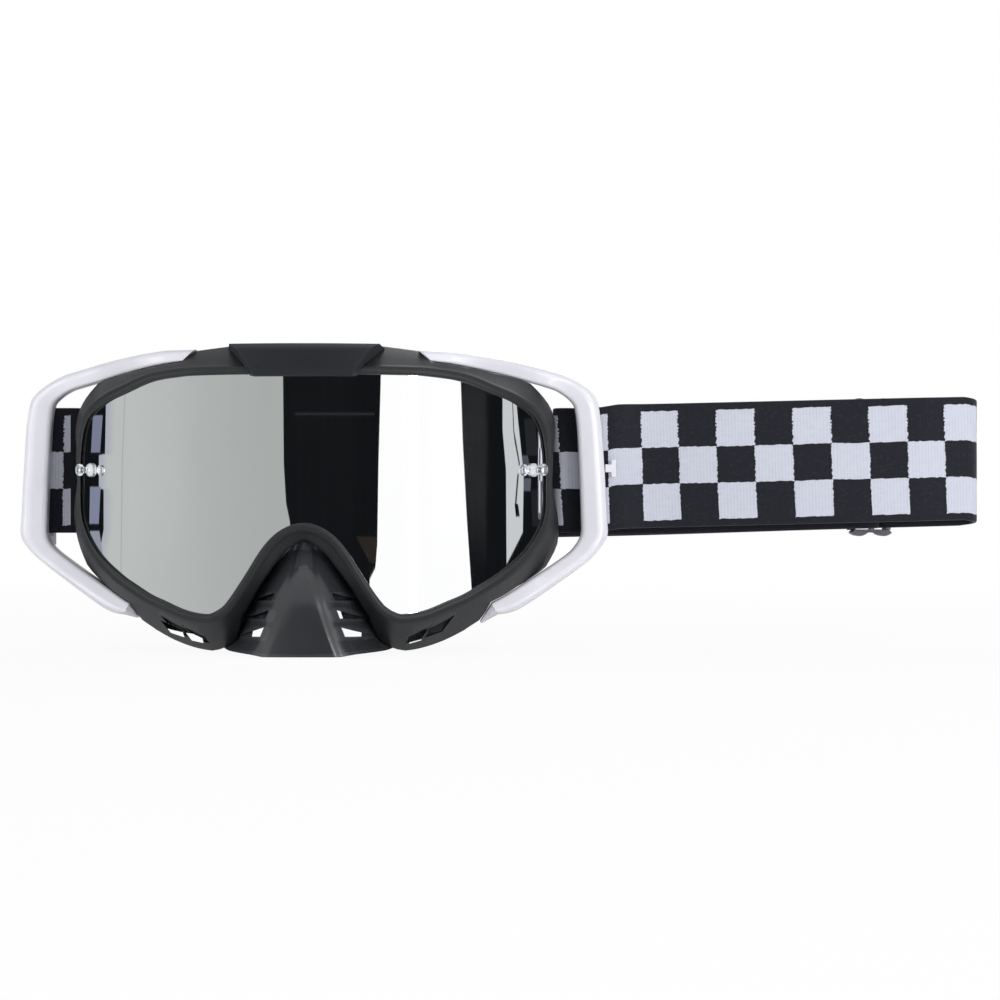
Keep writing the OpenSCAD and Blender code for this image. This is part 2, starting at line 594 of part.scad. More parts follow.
// Right end: sewn end, loop round the hanger, then the front run up to the fold
front_path = [
    for (p = [[run_in + 10, front_y + 9.1], [run_in, front_y + 7.1],
        [run_in - 6, front_y + 6.3], [run_in - 12, rear_y], [wrap_x + 4, rear_y]])
        [p[0], p[1], front_z(p[0])],
    each lift(turn(wrap_x, wrap_y, wrap_r, wrap_r, 90, 270, 10), hanger_rise),
    for (p = [[rise_from, front_y], [bar_out, front_y], [bar_out + 3, front_y + 0.9],
        [run_in, front_y + 5.1], [run_in + 4, front_y + 6], [run_in + 14, front_y + 6.9],
        [fold_c - 18, fold_y - 3.4], [fold_c - 8, fold_y - 1.7],
        [fold_c - seat_gap, fold_y - 0.06]])
        [p[0], p[1], front_z(p[0])]];
module strap_front() color("#23242c") in_place() ribbon(front_path);

// Fold and back run, up to the left outrigger
back_path = concat(
    [for (k = [0 : 12]) let (a = -90 + 15 * k)
        [fold_c + fold_r * cos(a), back_y - fold_r + fold_r * sin(a),
            mix(front_z(fold_c), back_z(fold_c), k / 12)]],
    [for (x = [slider_x, foam_x, 0, loop_x + layer_end]) [x, back_y, back_z(x)]]);
module strap_back() color("#23242c") in_place() ribbon(back_path);

// Left end: round the outrigger, round the hanger and back inside itself
loop_out = 5;
loop_in = 2.2;
loop_path = lift(concat(
    turn(loop_x, (front_y + back_y) / 2, loop_out, (back_y - front_y) / 2, 90, 270, 16),
    turn(-wrap_x, wrap_y, wrap_r, wrap_r, -90, 90, 10),
    turn(loop_x, (rear_y + return_y) / 2, loop_in, (return_y - rear_y) / 2, 270, 90, 12)),
    hanger_rise);
module strap_loop_left() color("#23242c") in_place() ribbon(loop_path);

// Doubled layer inside the back run, and the tail that slides along it
slider_clear = 23;
return_end = slider_x - slider_in - slider_clear;
return_path = [for (x = [loop_x + layer_end, 0, foam_x, return_end]) [x, return_y, back_z(x)]];
module strap_return() color("#23242c") in_place() ribbon(return_path);

bar_r = 1.1;
sew_gap = 0.15;
pin_y = back_y - strap_t / 2 - seat_gap - strap_t - sew_gap - bar_r;
sew_r = bar_r + sew_gap + strap_t / 2;
sewn_y = tail_y + strap_t + sew_gap - 0.03;
lap_spare = 6;
tail_lap = slider_out + lap_spare;
tail_path = [for (p = concat(
    [[return_end - tail_lap - slider_x, tail_y], [-60, tail_y], [-14, tail_y],
        [-9, tail_y - 0.4], [-3.4, pin_y - sew_r + 0.1]],
    turn(0, pin_y, sew_r, sew_r, -90, 90, 8),
    [[-4, pin_y + sew_r - 0.02], [-10, sewn_y], [-18, sewn_y]]))
    [slider_x + p[0], p[1], back_z(slider_x + p[0])]];
module strap_tail() color("#23242c") in_place() ribbon(tail_path);

// Ladder buckle: two outer bars, a round centre bar and lobed end rails
rail_play = 0.4;
rail_in = strap_w / 2 + rail_play;
rail_h = 2.4;
lobe_r = 4.4;
outer_bar = 1.8;
outer_bar_x = 6.4;
bar_root = 0.2;
outer_y = back_y + strap_t / 2 + seat_gap;
module rail()
    translate([0, outer_y + outer_bar, 0]) rotate([90, 0, 0])
        linear_extrude(outer_y + outer_bar - pin_y + bar_r) {
            intersection() {
                for (x = [-lobe_r, lobe_r])
                    translate([x, rail_in + rail_h - lobe_r]) circle(lobe_r);
                translate([-2 * lobe_r, rail_in]) square([4 * lobe_r, rail_h]);
            }
            translate([-1.4 * lobe_r, rail_in]) square([2.8 * lobe_r, 0.55 * rail_h]);
        }
module strap_slider() color("#4a4b50") in_place() translate([slider_x, 0, slider_z]) {
    rail();
    mirror([0, 0, 1]) rail();
    translate([0, pin_y, -rail_in - bar_root])
        cylinder(r = bar_r, h = 2 * (rail_in + bar_root));
    for (x = [-outer_bar_x, outer_bar_x])
        translate([x, outer_y + outer_bar / 2, -rail_in - bar_root])
            linear_extrude(2 * (rail_in + bar_root)) {
                square([outer_bar, outer_bar], center = true);
                for (e = [-1, 1]) translate([e * outer_bar / 2, 0]) circle(outer_bar / 2);
            }
}

// White T tabs beside the bars
tab_z = 0.9;
tab_t = 1.3;
tab_shape = [[0, -1.4], [2.2, -1.4], [2.2, -3], [3.8, -3], [3.8, 3], [2.2, 3], [2.2, 1.4],
    [0, 1.4]];
module strap_tab_right() color("#eeedf3") in_place()
    translate([bar_out - bar_pull + 0.1, bar_y + bar_d - 0.7 * tab_t, tab_z]) rotate([90, 0, 0])
        linear_extrude(tab_t) polygon(tab_shape);
module strap_tab_left() color("#eeedf3") in_place()
    translate([-bar_out + 0.4, bar_y + bar_d + seat_gap, tab_z]) rotate([90, 0, 90])
        linear_extrude(tab_t) polygon(tab_shape);

main_frame();
brow_plate();
lens();
tear_off_post_left();
tear_off_post_right();
outrigger_left();
outrigger_right();
strap_hanger_left();
strap_hanger_right();
nose_guard();
face_foam_base();
face_foam_middle();
face_fleece();
vent_foam_top();
strap_front();
strap_back();
strap_loop_left();
strap_return();
strap_tail();
strap_slider();
strap_tab_left();
strap_tab_right();
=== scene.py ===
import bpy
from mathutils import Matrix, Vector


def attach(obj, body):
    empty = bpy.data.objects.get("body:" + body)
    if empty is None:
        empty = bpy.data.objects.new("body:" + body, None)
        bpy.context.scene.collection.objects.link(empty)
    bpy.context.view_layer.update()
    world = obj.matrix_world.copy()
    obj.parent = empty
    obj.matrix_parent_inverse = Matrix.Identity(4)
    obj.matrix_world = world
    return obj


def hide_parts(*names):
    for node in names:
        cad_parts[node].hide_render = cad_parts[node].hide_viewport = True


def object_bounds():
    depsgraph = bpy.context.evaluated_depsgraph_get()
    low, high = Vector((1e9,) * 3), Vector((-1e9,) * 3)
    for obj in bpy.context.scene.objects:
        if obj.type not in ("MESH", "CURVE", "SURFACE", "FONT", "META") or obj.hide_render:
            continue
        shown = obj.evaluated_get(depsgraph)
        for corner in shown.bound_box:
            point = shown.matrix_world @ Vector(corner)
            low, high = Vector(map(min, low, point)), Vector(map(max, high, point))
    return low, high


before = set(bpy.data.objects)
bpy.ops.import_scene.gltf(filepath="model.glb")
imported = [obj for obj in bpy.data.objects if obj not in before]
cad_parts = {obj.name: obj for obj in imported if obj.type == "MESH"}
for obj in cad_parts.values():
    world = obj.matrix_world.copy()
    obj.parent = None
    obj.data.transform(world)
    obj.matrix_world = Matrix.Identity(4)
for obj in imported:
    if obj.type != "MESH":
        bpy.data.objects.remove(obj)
cad_box = [list(corner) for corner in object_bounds()]

from math import asin, copysign, cos, exp, inf, pi, radians, sin, sqrt

import bmesh
import bpy
from mathutils import Matrix, Vector, noise
from mathutils.bvhtree import BVHTree

MM = 0.001

# Camera
camera = bpy.data.objects.new("Camera", bpy.data.cameras.new("Camera"))
bpy.context.collection.objects.link(camera)
camera.data.sensor_width = 36
camera.data.lens = 82.296
camera.data.clip_start = 0.01
camera.location = (0.0645, -0.7935, -0.0103)
camera.rotation_euler = (radians(90), 0, 0)
bpy.context.scene.camera = camera

# Sizes, in mm
LENS_R, LENS_T, LENS_LAP = 100, 1.6, 2.6
HALF_W, TOP, DROP, ARCH, LOBE_X = 80.3, 31, 48, 17.8, 32.5
BROW, SEAT, CORNER, TEMPLE = 8.8, 5, 9, 2.2
JAW, CHEEK, LOBE, ARCH_BAND = 8, 11.8, 13.4, 6.2
RIM_W, LIP_H, WALL, DEPTH, FACE_R, FLANGE = 3.2, 1.9, 2.2, 28, 125, 7.5
FLARE, SWELL, SWELL_RIGHT, NOSE_CUT = 1.4, 1.5, 3, 10
FOAM_T = (7, 4.6, 3)
FOAM_W = 9.5
GAP = 0.3
SEAT_Y = DEPTH + sum(FOAM_T) + 3 * GAP
BAR_X, BAR_W, BAR_D, BAR_Y, BAR_TOP, BAR_DROP = 94, 9.6, 7, 53.2, 23, 23.4
BAR_OUT = BAR_X + BAR_W
BAR_PULL, HANGER_REACH = 2, 8.9
BLADE_W, BLADE_SWELL, LOWER_SPREAD, BLADE_D = 4.2, 1.8, 0.9, 9
STRAP_W, STRAP_T = 44.4, 1.5
PLATE_TOP, PLATE_BOTTOM, PLATE_RISE, PLATE_DEPTH = 24.5, 17.8, 1.4, 15
TEMPLE_X = BAR_X - HANGER_REACH - STRAP_T - GAP - 0.7


def place(p):
    """A point of the lens frame, in mm, as a point of the row frame, in metres."""
    return Vector((p[0] * MM, (p[1] - SEAT_Y) * MM, p[2] * MM))


def mix(a, b, t):
    return a + (b - a) * t


def clamp(v):
    return min(1, max(0, v))


def curve(a, slope_a, b, slope_b, t):
    """A point of the smooth curve from a to b with unit slopes at both ends."""
    span = (b - a).length
    return ((2 * t**3 - 3 * t**2 + 1) * a + (t**3 - 2 * t**2 + t) * slope_a * span
            + (3 * t**2 - 2 * t**3) * b + (t**3 - t**2) * slope_b * span)


# Outline of the opening: (x, z, width of the band beside it), as shares of its sizes
def up(u, v, band):
    return (u * HALF_W, v * TOP, band)


def low(u, v, band):
    return (u * HALF_W, -v * DROP, band)


def arch(u, v, band):
    return (u * LOBE_X, -ARCH - v * (DROP - ARCH), band)


PLATE_END = PLATE_TOP / HALF_W
RIM = [
    up(0, 1, BROW), up(0.25, 1, BROW), up(PLATE_END - 0.003, 1, BROW),
    up(PLATE_END + 0.007, 1, BROW + 1.5), up(0.465, 0.996, BROW + 0.1),
    up(0.514, 0.99, SEAT), up(0.65, 0.945, SEAT),
    up(0.77, 0.835, (SEAT + CORNER) / 2), up(0.88, 0.72, CORNER),
    up(0.962, 0.55, CORNER - 2.4), up(0.995, 0.25, TEMPLE + 1),
    low(1, 0.085, TEMPLE), low(0.99, 0.36, (TEMPLE + JAW) / 2 - 0.4),
    low(0.915, 0.576, JAW - 0.1), low(0.803, 0.734, JAW - 0.7), low(0.722, 0.815, JAW - 1.1),
    low(0.66, 0.872, CHEEK - 1.2), low(0.6, 0.912, CHEEK), low(0.498, 0.977, CHEEK + 0.7),
    arch(1, 1, LOBE), arch(0.9, 0.966, LOBE - 1.8), arch(0.8, 0.885, ARCH_BAND + 0.4),
    arch(0.615, 0.601, ARCH_BAND - 0.4), arch(0.4, 0.247, ARCH_BAND + 0.4),
    arch(0.215, 0.068, ARCH_BAND + 0.4), arch(0, 0, ARCH_BAND - 0.5)]
LAST, LOBE_AT = len(RIM) - 1, 19


def chord(i):
    a, b = RIM[max(i - 1, 0)], RIM[min(i + 1, LAST)]
    return Vector((b[0] - a[0], 0 if i in (0, LAST) else b[1] - a[1])).normalized()


def rim_point(t):
    i = min(int(t), LAST - 1)
    return curve(Vector(RIM[i][:2]), chord(i), Vector(RIM[i + 1][:2]), chord(i + 1), t - i)


def half_station(t):
    """(x, z, outward x, outward z, band) at t along the right half of the outline."""
    i = min(int(t), LAST - 1)
    p = rim_point(t)
    d = rim_point(min(t + 0.1, LAST)) - rim_point(max(t - 0.1, 0))
    if t < 1e-6 or t > LAST - 1e-6:
        d.y = 0
    d.normalize()
    return (p.x, p.y, -d.y, d.x, mix(RIM[i][2], RIM[i + 1][2], t - i))


def station(t):
    """The same for the whole ring: t runs from 0 to 2 * LAST, the second half mirrored."""
    if t <= LAST:
        return half_station(t)
    x, z, nx, nz, band = half_station(2 * LAST - t)
    return (-x, z, -nx, nz, band)


def shell_y(x, inset=0.0):
    return LENS_R - sqrt((LENS_R - inset) ** 2 - x * x)


def face_y(x, z):
    cut = NOSE_CUT * exp(-(x / (LOBE_X / 2)) ** 2) / (1 + exp((z + ARCH - 6) / 3))
    return DEPTH + FACE_R - sqrt(FACE_R**2 - x * x) - cut


def outward(s, n):
    return s[0] + n * s[2], s[1] + n * s[3]


def by_lens(s, n, off, inset=0.0):
    """A point n outward from a station, off behind the lens's cylinder."""
    x, z = outward(s, n)
    return Vector((x, shell_y(x, inset) + off, z))


def by_face(s, n, off):
    """A point n outward from a station, off behind the surface the foam lies on."""
    x, z = outward(s, n)
    return Vector((x, face_y(x, z) + off, z))


def back_of(s):
    """How far out the back edge of the frame stands."""
    f = (clamp((abs(s[0]) - 0.72 * HALF_W) * 8 / HALF_W)
         * clamp((abs(s[1]) - 0.65 * TOP) * 4 / TOP))
    n = s[4] - 0.6 + FLARE * f - 0.75 * max(0, s[4] - 7) * (1 - f)
    if abs(s[0]) > 0.87 * HALF_W:
        limit = min(n, (TEMPLE_X - abs(s[0])) / abs(s[2]))
        soft = clamp((STRAP_W / 2 + 6 - abs(s[1])) / 4)
        n = mix(n, limit, soft * soft * (3 - 2 * soft))
    return n


def swell_of(s):
    """How far the flank bulges at its upper corners and beside the bars."""
    corner = exp(-((abs(s[0]) - 0.93 * HALF_W) / (0.07 * HALF_W)) ** 2
                      - ((s[1] - 0.72 * TOP) / (0.22 * TOP)) ** 2)
    beside = clamp((abs(s[0]) - 0.84 * HALF_W) / (0.06 * HALF_W))
    height = SWELL_RIGHT if s[0] > 0 else SWELL
    return height * beside * exp(-((s[1] + 0.42 * DROP) / (0.17 * DROP)) ** 2) + 1.2 * corner


def rim_of(s):
    return min(RIM_W, 0.72 * s[4])


def run_of(s):
    """How far the face of the frame slopes back beside the lip, less so round the arch."""
    by_arch = (s[1] < 0) * clamp((0.8 * LOBE_X - abs(s[0])) / (0.3 * LOBE_X))
    return mix(1.6, 0.7, by_arch) * (s[4] - rim_of(s))


# Mesh making
def settle(name, bm):
    """A bmesh made an object at the origin, its faces turned outward."""
    bmesh.ops.recalc_face_normals(bm, faces=bm.faces)
    mesh = bpy.data.meshes.new(name)
    bm.to_mesh(mesh)
    bm.free()
    mesh.shade_smooth()
    piece = bpy.data.objects.new(name, mesh)
    bpy.context.collection.objects.link(piece)
    return piece


def wrapped(name, point, nu, nv, ring=False, uv=None):
    """A grid of points point(i, j), nv of them round a section, as a ring or with ends."""
    bm = bmesh.new()
    cu = nu if ring else nu - 1
    bmesh.ops.create_grid(bm, x_segments=cu, y_segments=nv, size=0.5, calc_uvs=True)
    layer = bm.loops.layers.uv.verify()
    spot = {v: (round((v.co.x + 0.5) * cu), round((v.co.y + 0.5) * nv)) for v in bm.verts}
    if uv:
        for face in bm.faces:
            for loop in face.loops:
                loop[layer].uv = uv(*spot[loop.vert])
    for v, (i, j) in spot.items():
        v.co = place(point(i % nu, j % nv))
    bmesh.ops.remove_doubles(bm, verts=bm.verts, dist=1e-7)
    if not ring:
        bmesh.ops.holes_fill(bm, edges=[e for e in bm.edges if e.is_boundary], sides=0)
    return settle(name, bm)


def skinned(name, rings, ring=False):
    return wrapped(name, lambda i, j: rings[i][j], len(rings), len(rings[0]), ring)


def sharpen(piece, degrees):
    """Edges sharper than an angle shade as edges, and flat faces keep their shading."""
    bm = bmesh.new()
    bm.from_mesh(piece.data)
    for e in bm.edges:
        e.smooth = len(e.link_faces) == 2 and e.calc_face_angle(0) < radians(degrees)
    bm.to_mesh(piece.data)
    bm.free()
    piece.modifiers.new("even", "WEIGHTED_NORMAL").keep_sharp = True
    return piece


def rounded(corners):
    """Each corner (point, radius) turned by three points."""
    out = []
    for i, (p, r) in enumerate(corners):
        a, b = corners[i - 1][0], corners[(i + 1) % len(corners)][0]
        pa = p + (a - p).normalized() * min(r, 0.4 * (a - p).length)
        pb = p + (b - p).normalized() * min(r, 0.4 * (b - p).length)
        out += [pa, (pa + pb) / 4 + p / 2, pb]
    return out


def cut(piece, cutters):
    """Takes the cutters out of the piece, and removes them. Bent faces are split first."""
    for solid in [piece] + cutters:
        bm = bmesh.new()
        bm.from_mesh(solid.data)
        bmesh.ops.triangulate(bm, faces=bm.faces)
        bm.to_mesh(solid.data)
        bm.free()
    for c in cutters:
        tool = piece.modifiers.new("cut", "BOOLEAN")
        tool.object = c
        tool.solver = "MANIFOLD"
    bpy.context.view_layer.update()
    graph = bpy.context.evaluated_depsgraph_get()
    mesh = bpy.data.meshes.new_from_object(piece.evaluated_get(graph))
    piece.modifiers.clear()
    piece.data = mesh
    for c in cutters:
        bpy.data.objects.remove(c)


def extrude(bm, outline, near, far, shift=(0, 0)):
    """A solid over an outline in x and z, in mm, between two depths, fixed or by (x, z)."""
    def at(depth, x, z):
        return depth(x, z) if callable(depth) else depth

    face = bm.faces.new([bm.verts.new(place((x, at(near, x, z), z))) for x, z in outline])
    for v in bmesh.ops.extrude_face_region(bm, geom=[face])["geom"]:
        if isinstance(v, bmesh.types.BMVert):
            x, z = v.co.x / MM, v.co.z / MM
            v.co = place((x + shift[0], at(far, x, z), z + shift[1]))


def prism(name, outline, near, far, shift=(0, 0)):
    bm = bmesh.new()
    extrude(bm, outline, near, far, shift)
    return settle(name, bm)


def ease(bm, angle, width, segments, **more):
    """Rounds the edges sharper than an angle."""
    bmesh.ops.recalc_face_normals(bm, faces=bm.faces)
    hard = [e for e in bm.edges if len(e.link_faces) == 2
            and e.calc_face_angle(0) > radians(angle)]
    bmesh.ops.bevel(bm, geom=hard, offset=width * MM, segments=segments, profile=0.5,
                    affect="EDGES", material=-1, **more)


def box(x0, x1, z0, z1):
    return [(x0, z0), (x1, z0), (x1, z1), (x0, z1)]


def grown(outline, by):
    """A convex outline moved outward."""
    area = sum(a[0] * b[1] - b[0] * a[1] for a, b in zip(outline, outline[1:] + outline[:1]))
    out = []
    for i, p in enumerate(outline):
        p, a = Vector(p), Vector(outline[i - 1])
        u, v = (p - a).normalized(), (Vector(outline[(i + 1) % len(outline)]) - p).normalized()
        n = Vector((u.y + v.y, -u.x - v.x)) * copysign(by, area)
        out.append(tuple(p + n / (1 + u.dot(v))))
    return out


def mirrored(outline):
    return [(-p[0], p[1]) for p in reversed(outline)]


# Shader maths
def add_node(tree, kind, *values, out=0, **more):
    """A shader node: values for its first sockets, sockets by name, settings in lower case."""
    made = tree.nodes.new("ShaderNode" + kind)
    slots = list(zip(made.inputs, values))
    for key, value in more.items():
        if key.islower():
            setattr(made, key, value)
        else:
            slots.append((made.inputs[key.replace("_", " ")], value))
    for slot, value in slots:
        if isinstance(value, Val):
            tree.links.new(value.socket, slot)
        elif value is not None:
            slot.default_value = tone(value) if isinstance(value, str) else value
    return Val(tree, made.outputs[out]) if made.outputs else None


def tone(code, gain=1):
    """An sRGB hex colour as linear values."""
    channels = [int(code[i:i + 2], 16) / 255 for i in (0, 2, 4)]
    return (*(gain * (c / 12.92 if c <= 0.04045 else ((c + 0.055) / 1.055) ** 2.4)
              for c in channels), 1)


def maths(operation):
    return lambda value, *others: value.math(operation, *others)


class Val:
    """A shader value. Arithmetic on it adds Math nodes."""

    def __init__(self, tree, socket):
        self.tree, self.socket = tree, socket

    def math(self, operation, *others, clamp=False):
        return add_node(self.tree, "Math", self, *others, operation=operation, use_clamp=clamp)

    __add__ = __radd__ = maths("ADD")
    __mul__ = __rmul__ = maths("MULTIPLY")
    __sub__, __truediv__ = maths("SUBTRACT"), maths("DIVIDE")
    __gt__, __lt__ = maths("GREATER_THAN"), maths("LESS_THAN")
    floor, abs, sin = maths("FLOOR"), maths("ABSOLUTE"), maths("SINE")
    mod, most, least = maths("FLOORED_MODULO"), maths("MAXIMUM"), maths("MINIMUM")

    def __rsub__(self, other):
        return self * -1 + other

    def ramp(self, low_in, high_in, low_out=0.0, high_out=1.0):
        return add_node(self.tree, "MapRange", self, low_in, high_in, low_out, high_out,
                        interpolation_type="SMOOTHSTEP")


class Graph:
    """The node tree of a material or a world."""

    def __init__(self, owner):
        owner.use_nodes = True
        self.tree = owner.node_tree
        self.tree.nodes.clear()

    def add(self, kind, *values, **more):
        return add_node(self.tree, kind, *values, **more)

    def where(self, source="Object"):
        return self.add("TexCoord", out=source)

    def parts(self, vector):
        return [self.add("SeparateXYZ", vector, out=axis) for axis in "XYZ"]

    def noise(self, scale, detail, roughness, at=None):
        return self.add("TexNoise", at or self.where(), None, scale, detail, roughness)

    def cells(self, scale):
        return self.add("TexVoronoi", self.where(), None, scale)

    def chance(self, x, y):
        """A value from 0 to 1, fixed for each whole x and y."""
        return self.add("TexWhiteNoise", self.add("CombineXYZ", x, y), noise_dimensions="2D")

    def blend(self, factor, a, b):
        return self.add("Mix", factor, *[None] * 5, a, b, out=2, data_type="RGBA")

    def bump(self, height, distance, strength, under=None):
        return self.add("Bump", Strength=strength, Distance=distance, Height=height, Normal=under)

    def on_rays(self, kind):
        return self.add("LightPath", out=f"Is {kind} Ray")

    def seen(self):
        """1 where the eye looks, straight or through a clear piece."""
        return self.on_rays("Camera").most(self.on_rays("Transmission"))


class Finish(Graph):
    """A material with one Principled shader."""

    def __init__(self, name):
        self.material = bpy.data.materials.new(name)
        super().__init__(self.material)

    def done(self, colour, rough, normal=None, **more):
        self.add("OutputMaterial", self.add("BsdfPrincipled", Base_Color=colour, Roughness=rough,
                                            Normal=normal, **more))
        return self.material


def moulded(name, dark, light, rough, grain=0.35, depth=0.00004, level=0.5):
    """Moulded plastic: fine grain, faint flow marks, and edges rubbed lighter."""
    f = Finish(name)
    flow, fine = f.noise(60, 4, 0.6), f.noise(1000 / grain, 2, 0.6)
    scuff = f.noise(420, 5, 0.7).ramp(0.62, 0.78)
    edge = f.add("NewGeometry", out="Pointiness").ramp(0.515, 0.56)
    worn = (scuff * 0.35 + edge * 0.5).least(1.0)
    return f.done(f.blend(worn, f.blend(flow, dark, light), tone(light, 1.9)),
                  flow * 0.08 + fine * 0.08 + scuff * 0.06 + (rough - 0.1),
                  f.bump(fine, depth, 0.6, f.bump(flow, 0.0002, 0.15)), Specular_IOR_Level=level)


frame_black = moulded("frame_matt", "1d1e20", "252729", 0.48, level=0.4)
brow_black = moulded("brow_smooth", "202226", "25272b", 0.4, 0.25, 0.00001, 0.25)
# Painted shade: a near-black finish for the sheets behind the upper louvres
louvre_shade_black = moulded("louvre_painted_shade", "08090a", "0b0c0d", 0.7)
guard_black = moulded("guard_satin", "292b2e", "313336", 0.24, 0.25, 0.00002, 0.8)
slider_grey = moulded("slider_satin", "45464b", "54565b", 0.45, 0.3)
hanger_grey = moulded("hanger_satin", "a2a3aa", "b2b3ba", 0.42, 0.3)


def pearl(name, dark, light):
    """White gloss with a faint pearl mottle under a clear coat."""
    f = Finish(name)
    mottle, fleck = f.noise(35, 3, 0.55), f.noise(2600, 2, 0.5)
    smear = f.noise(180, 5, 0.65).ramp(0.6, 0.8)
    return f.done(f.blend(smear * 0.3, f.blend(mottle, dark, light), tone(dark, 0.86)),
                  mottle * 0.1 + fleck * 0.05 + smear * 0.1 + 0.24,
                  f.bump(fleck, 0.000015, 0.35, f.bump(mottle, 0.0001, 0.2)),
                  Coat_Weight=0.5, Coat_Roughness=0.12)


pearl_white = pearl("pearl_white", "dad9e1", "e8e7ed")
tab_white = pearl("tab_white", "e2e1ea", "efeef4")


def mirror_coat():
    """Silver mirror with faint dust and wipe marks."""
    f = Finish("mirror_coat")
    wipe, dust = f.noise(14, 4, 0.6), f.cells(900).ramp(0.12, 0.05)
    rare = f.noise(130, 2, 0.5).ramp(0.58, 0.72)
    return f.done(f.blend(wipe, "fbfcfc", "ffffff"), wipe * 0.012 + dust * rare * 0.12 + 0.012,
                  Metallic=1.0)


def mottled(name, noise_of, tones, gain, base, bump=None, **constants):
    """One noise sets the tone and the roughness, and the bump if it has one."""
    f = Finish(name)
    spots = f.noise(*noise_of)
    return f.done(f.blend(spots, *tones), spots * gain + base, bump and f.bump(spots, *bump),
                  **constants)


lens_back = mottled("lens_back_smoke", (18, 4, 0.6), ("3a3f44", "4a5056"), 0.06, 0.1,
                    Metallic=0.55, Specular_IOR_Level=0.6)
clear = mottled("clear_plastic", (300, 3, 0.5), ("dfe4e8", "f1f4f6"), 0.06, 0.03,
                (0.00005, 0.3), Transmission_Weight=0.92, IOR=1.49)
sewing_thread = mottled("sewing_thread", (3000, 2, 0.5), ("16171d", "343642"), 0.1, 0.6,
                        (0.00005, 0.6), Sheen_Weight=0.3)


def foam(name, dark, light, cell, depth):
    """Open cells: small pits of uneven size, painted darker in the pits and paler on their walls,
    as painted shade.
    """
    f = Finish(name)
    pit, small = f.cells(1000 / cell), f.cells(2300 / cell)
    height = pit.ramp(0.15, 0.6) * 0.7 + small.ramp(0.1, 0.6) * 0.3 + f.noise(400, 2, 0.5) * 0.3
    # painted shade: the colour follows the pit depth, dark in the pits and pale on the walls
    return f.done(f.blend(height, dark, light), pit * 0.1 + 0.86, f.bump(height, depth, 0.9),
                  Sheen_Weight=0.25, Sheen_Roughness=0.6)


open_foam = foam("open_foam", "151617", "3a3b3d", 0.7, 0.0004)
dense_foam = foam("dense_foam", "26272a", "4c4d51", 0.35, 0.00015)
filter_foam = foam("filter_foam", "1b1c1d", "505154", 1.1, 0.0006)


def fleece_pile():
    """Short brushed pile with soft clumps."""
    f = Finish("fleece_pile")
    clump, hair = f.noise(700, 4, 0.65), f.noise(4200, 2, 0.7)
    patch = f.blend(f.noise(45, 3, 0.5), "141516", "1b1c1f")
    return f.done(f.blend(clump * 0.6 + hair * 0.4, patch, "3c3d42"), hair * 0.1 + 0.85,
                  f.bump(clump * 0.6 + hair * 0.5, 0.0004, 0.9),
                  Sheen_Weight=0.6, Sheen_Roughness=0.45)


# Webbing: colours, sides of a check, thread and wale spacing and fine ribs, in mm
NAVY, NAVY_FLECK, PALE, PALE_DIP = "14151d", "272934", "c6c8d4", "9699a8"
CHECK, ROW, THREAD, WALE, RIB = 13.7, 13.0, 0.62, 1.17, 0.39


def webbing(name, shift):
    """Woven elastic on the piece's own UV map, in mm: run along it and height across it."""
    f = Finish(name)
    run, height, _ = (part * 1000 for part in f.parts(f.where("UV")))
    col, row = (run / WALE).floor(), (height / THREAD).floor()
    jump_u, jump_v, fleck = f.chance(row, 9.0), f.chance(col, 3.0), f.chance(col, row)
    drift = f.noise(60, 2, 0.5)
    along = run + (jump_u - 0.5) * 0.5 + (drift - 0.5) * 0.7 - shift
    across = height + (jump_v - 0.5) * 0.3 + (drift - 0.5) * 0.5 + 1.5 * ROW
    odd = ((along / CHECK).floor() + (across / ROW).floor()).mod(2.0)
    white = (1 - odd) * (across > 0.0) * (across < 3 * ROW)
    # wales run across the strap, and the picks between them step by half a thread
    wale, rib = ((run * (pi / width)).sin().abs() for width in (WALE, RIB))
    pick = (height * (pi / THREAD) + col.mod(2.0) * (pi / 2)).sin().abs()
    dip = ((1 - wale) * 0.5 + (1 - pick) * 0.6 + fleck * 0.35).ramp(0.75, 1.2)
    dark = f.blend((fleck > 0.9) * 0.35 + (1 - dip) * 0.2, NAVY, NAVY_FLECK)
    light = f.blend(dip * 0.75 + (1 - rib) * 0.08, PALE, PALE_DIP)
    relief = (1 - dip) * 0.45 + fleck * 0.3 + white * 0.5
    return f.done(f.blend(white, dark, light), wale * 0.08 + fleck * 0.06 + 0.74,
                  f.bump(relief, 0.00016, 0.55),
                  Specular_IOR_Level=0.2, Sheen_Weight=0.2, Sheen_Roughness=0.5)


def dress(piece, body, slot, replaced=(), *materials):
    piece.data.materials.clear()
    for m in materials:
        piece.data.materials.append(m)
    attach(piece, body)
    if replaced:
        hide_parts(*replaced)


# Main frame
FINE = 5
RING_N = 2 * LAST * FINE
SHELF_T, SHELF_IN, LENS_GAP = 2, 0.4, 0.15


def lap_of(s):
    """How far the frame reaches over the lens."""
    return min(LENS_LAP, 0.45 * s[4])


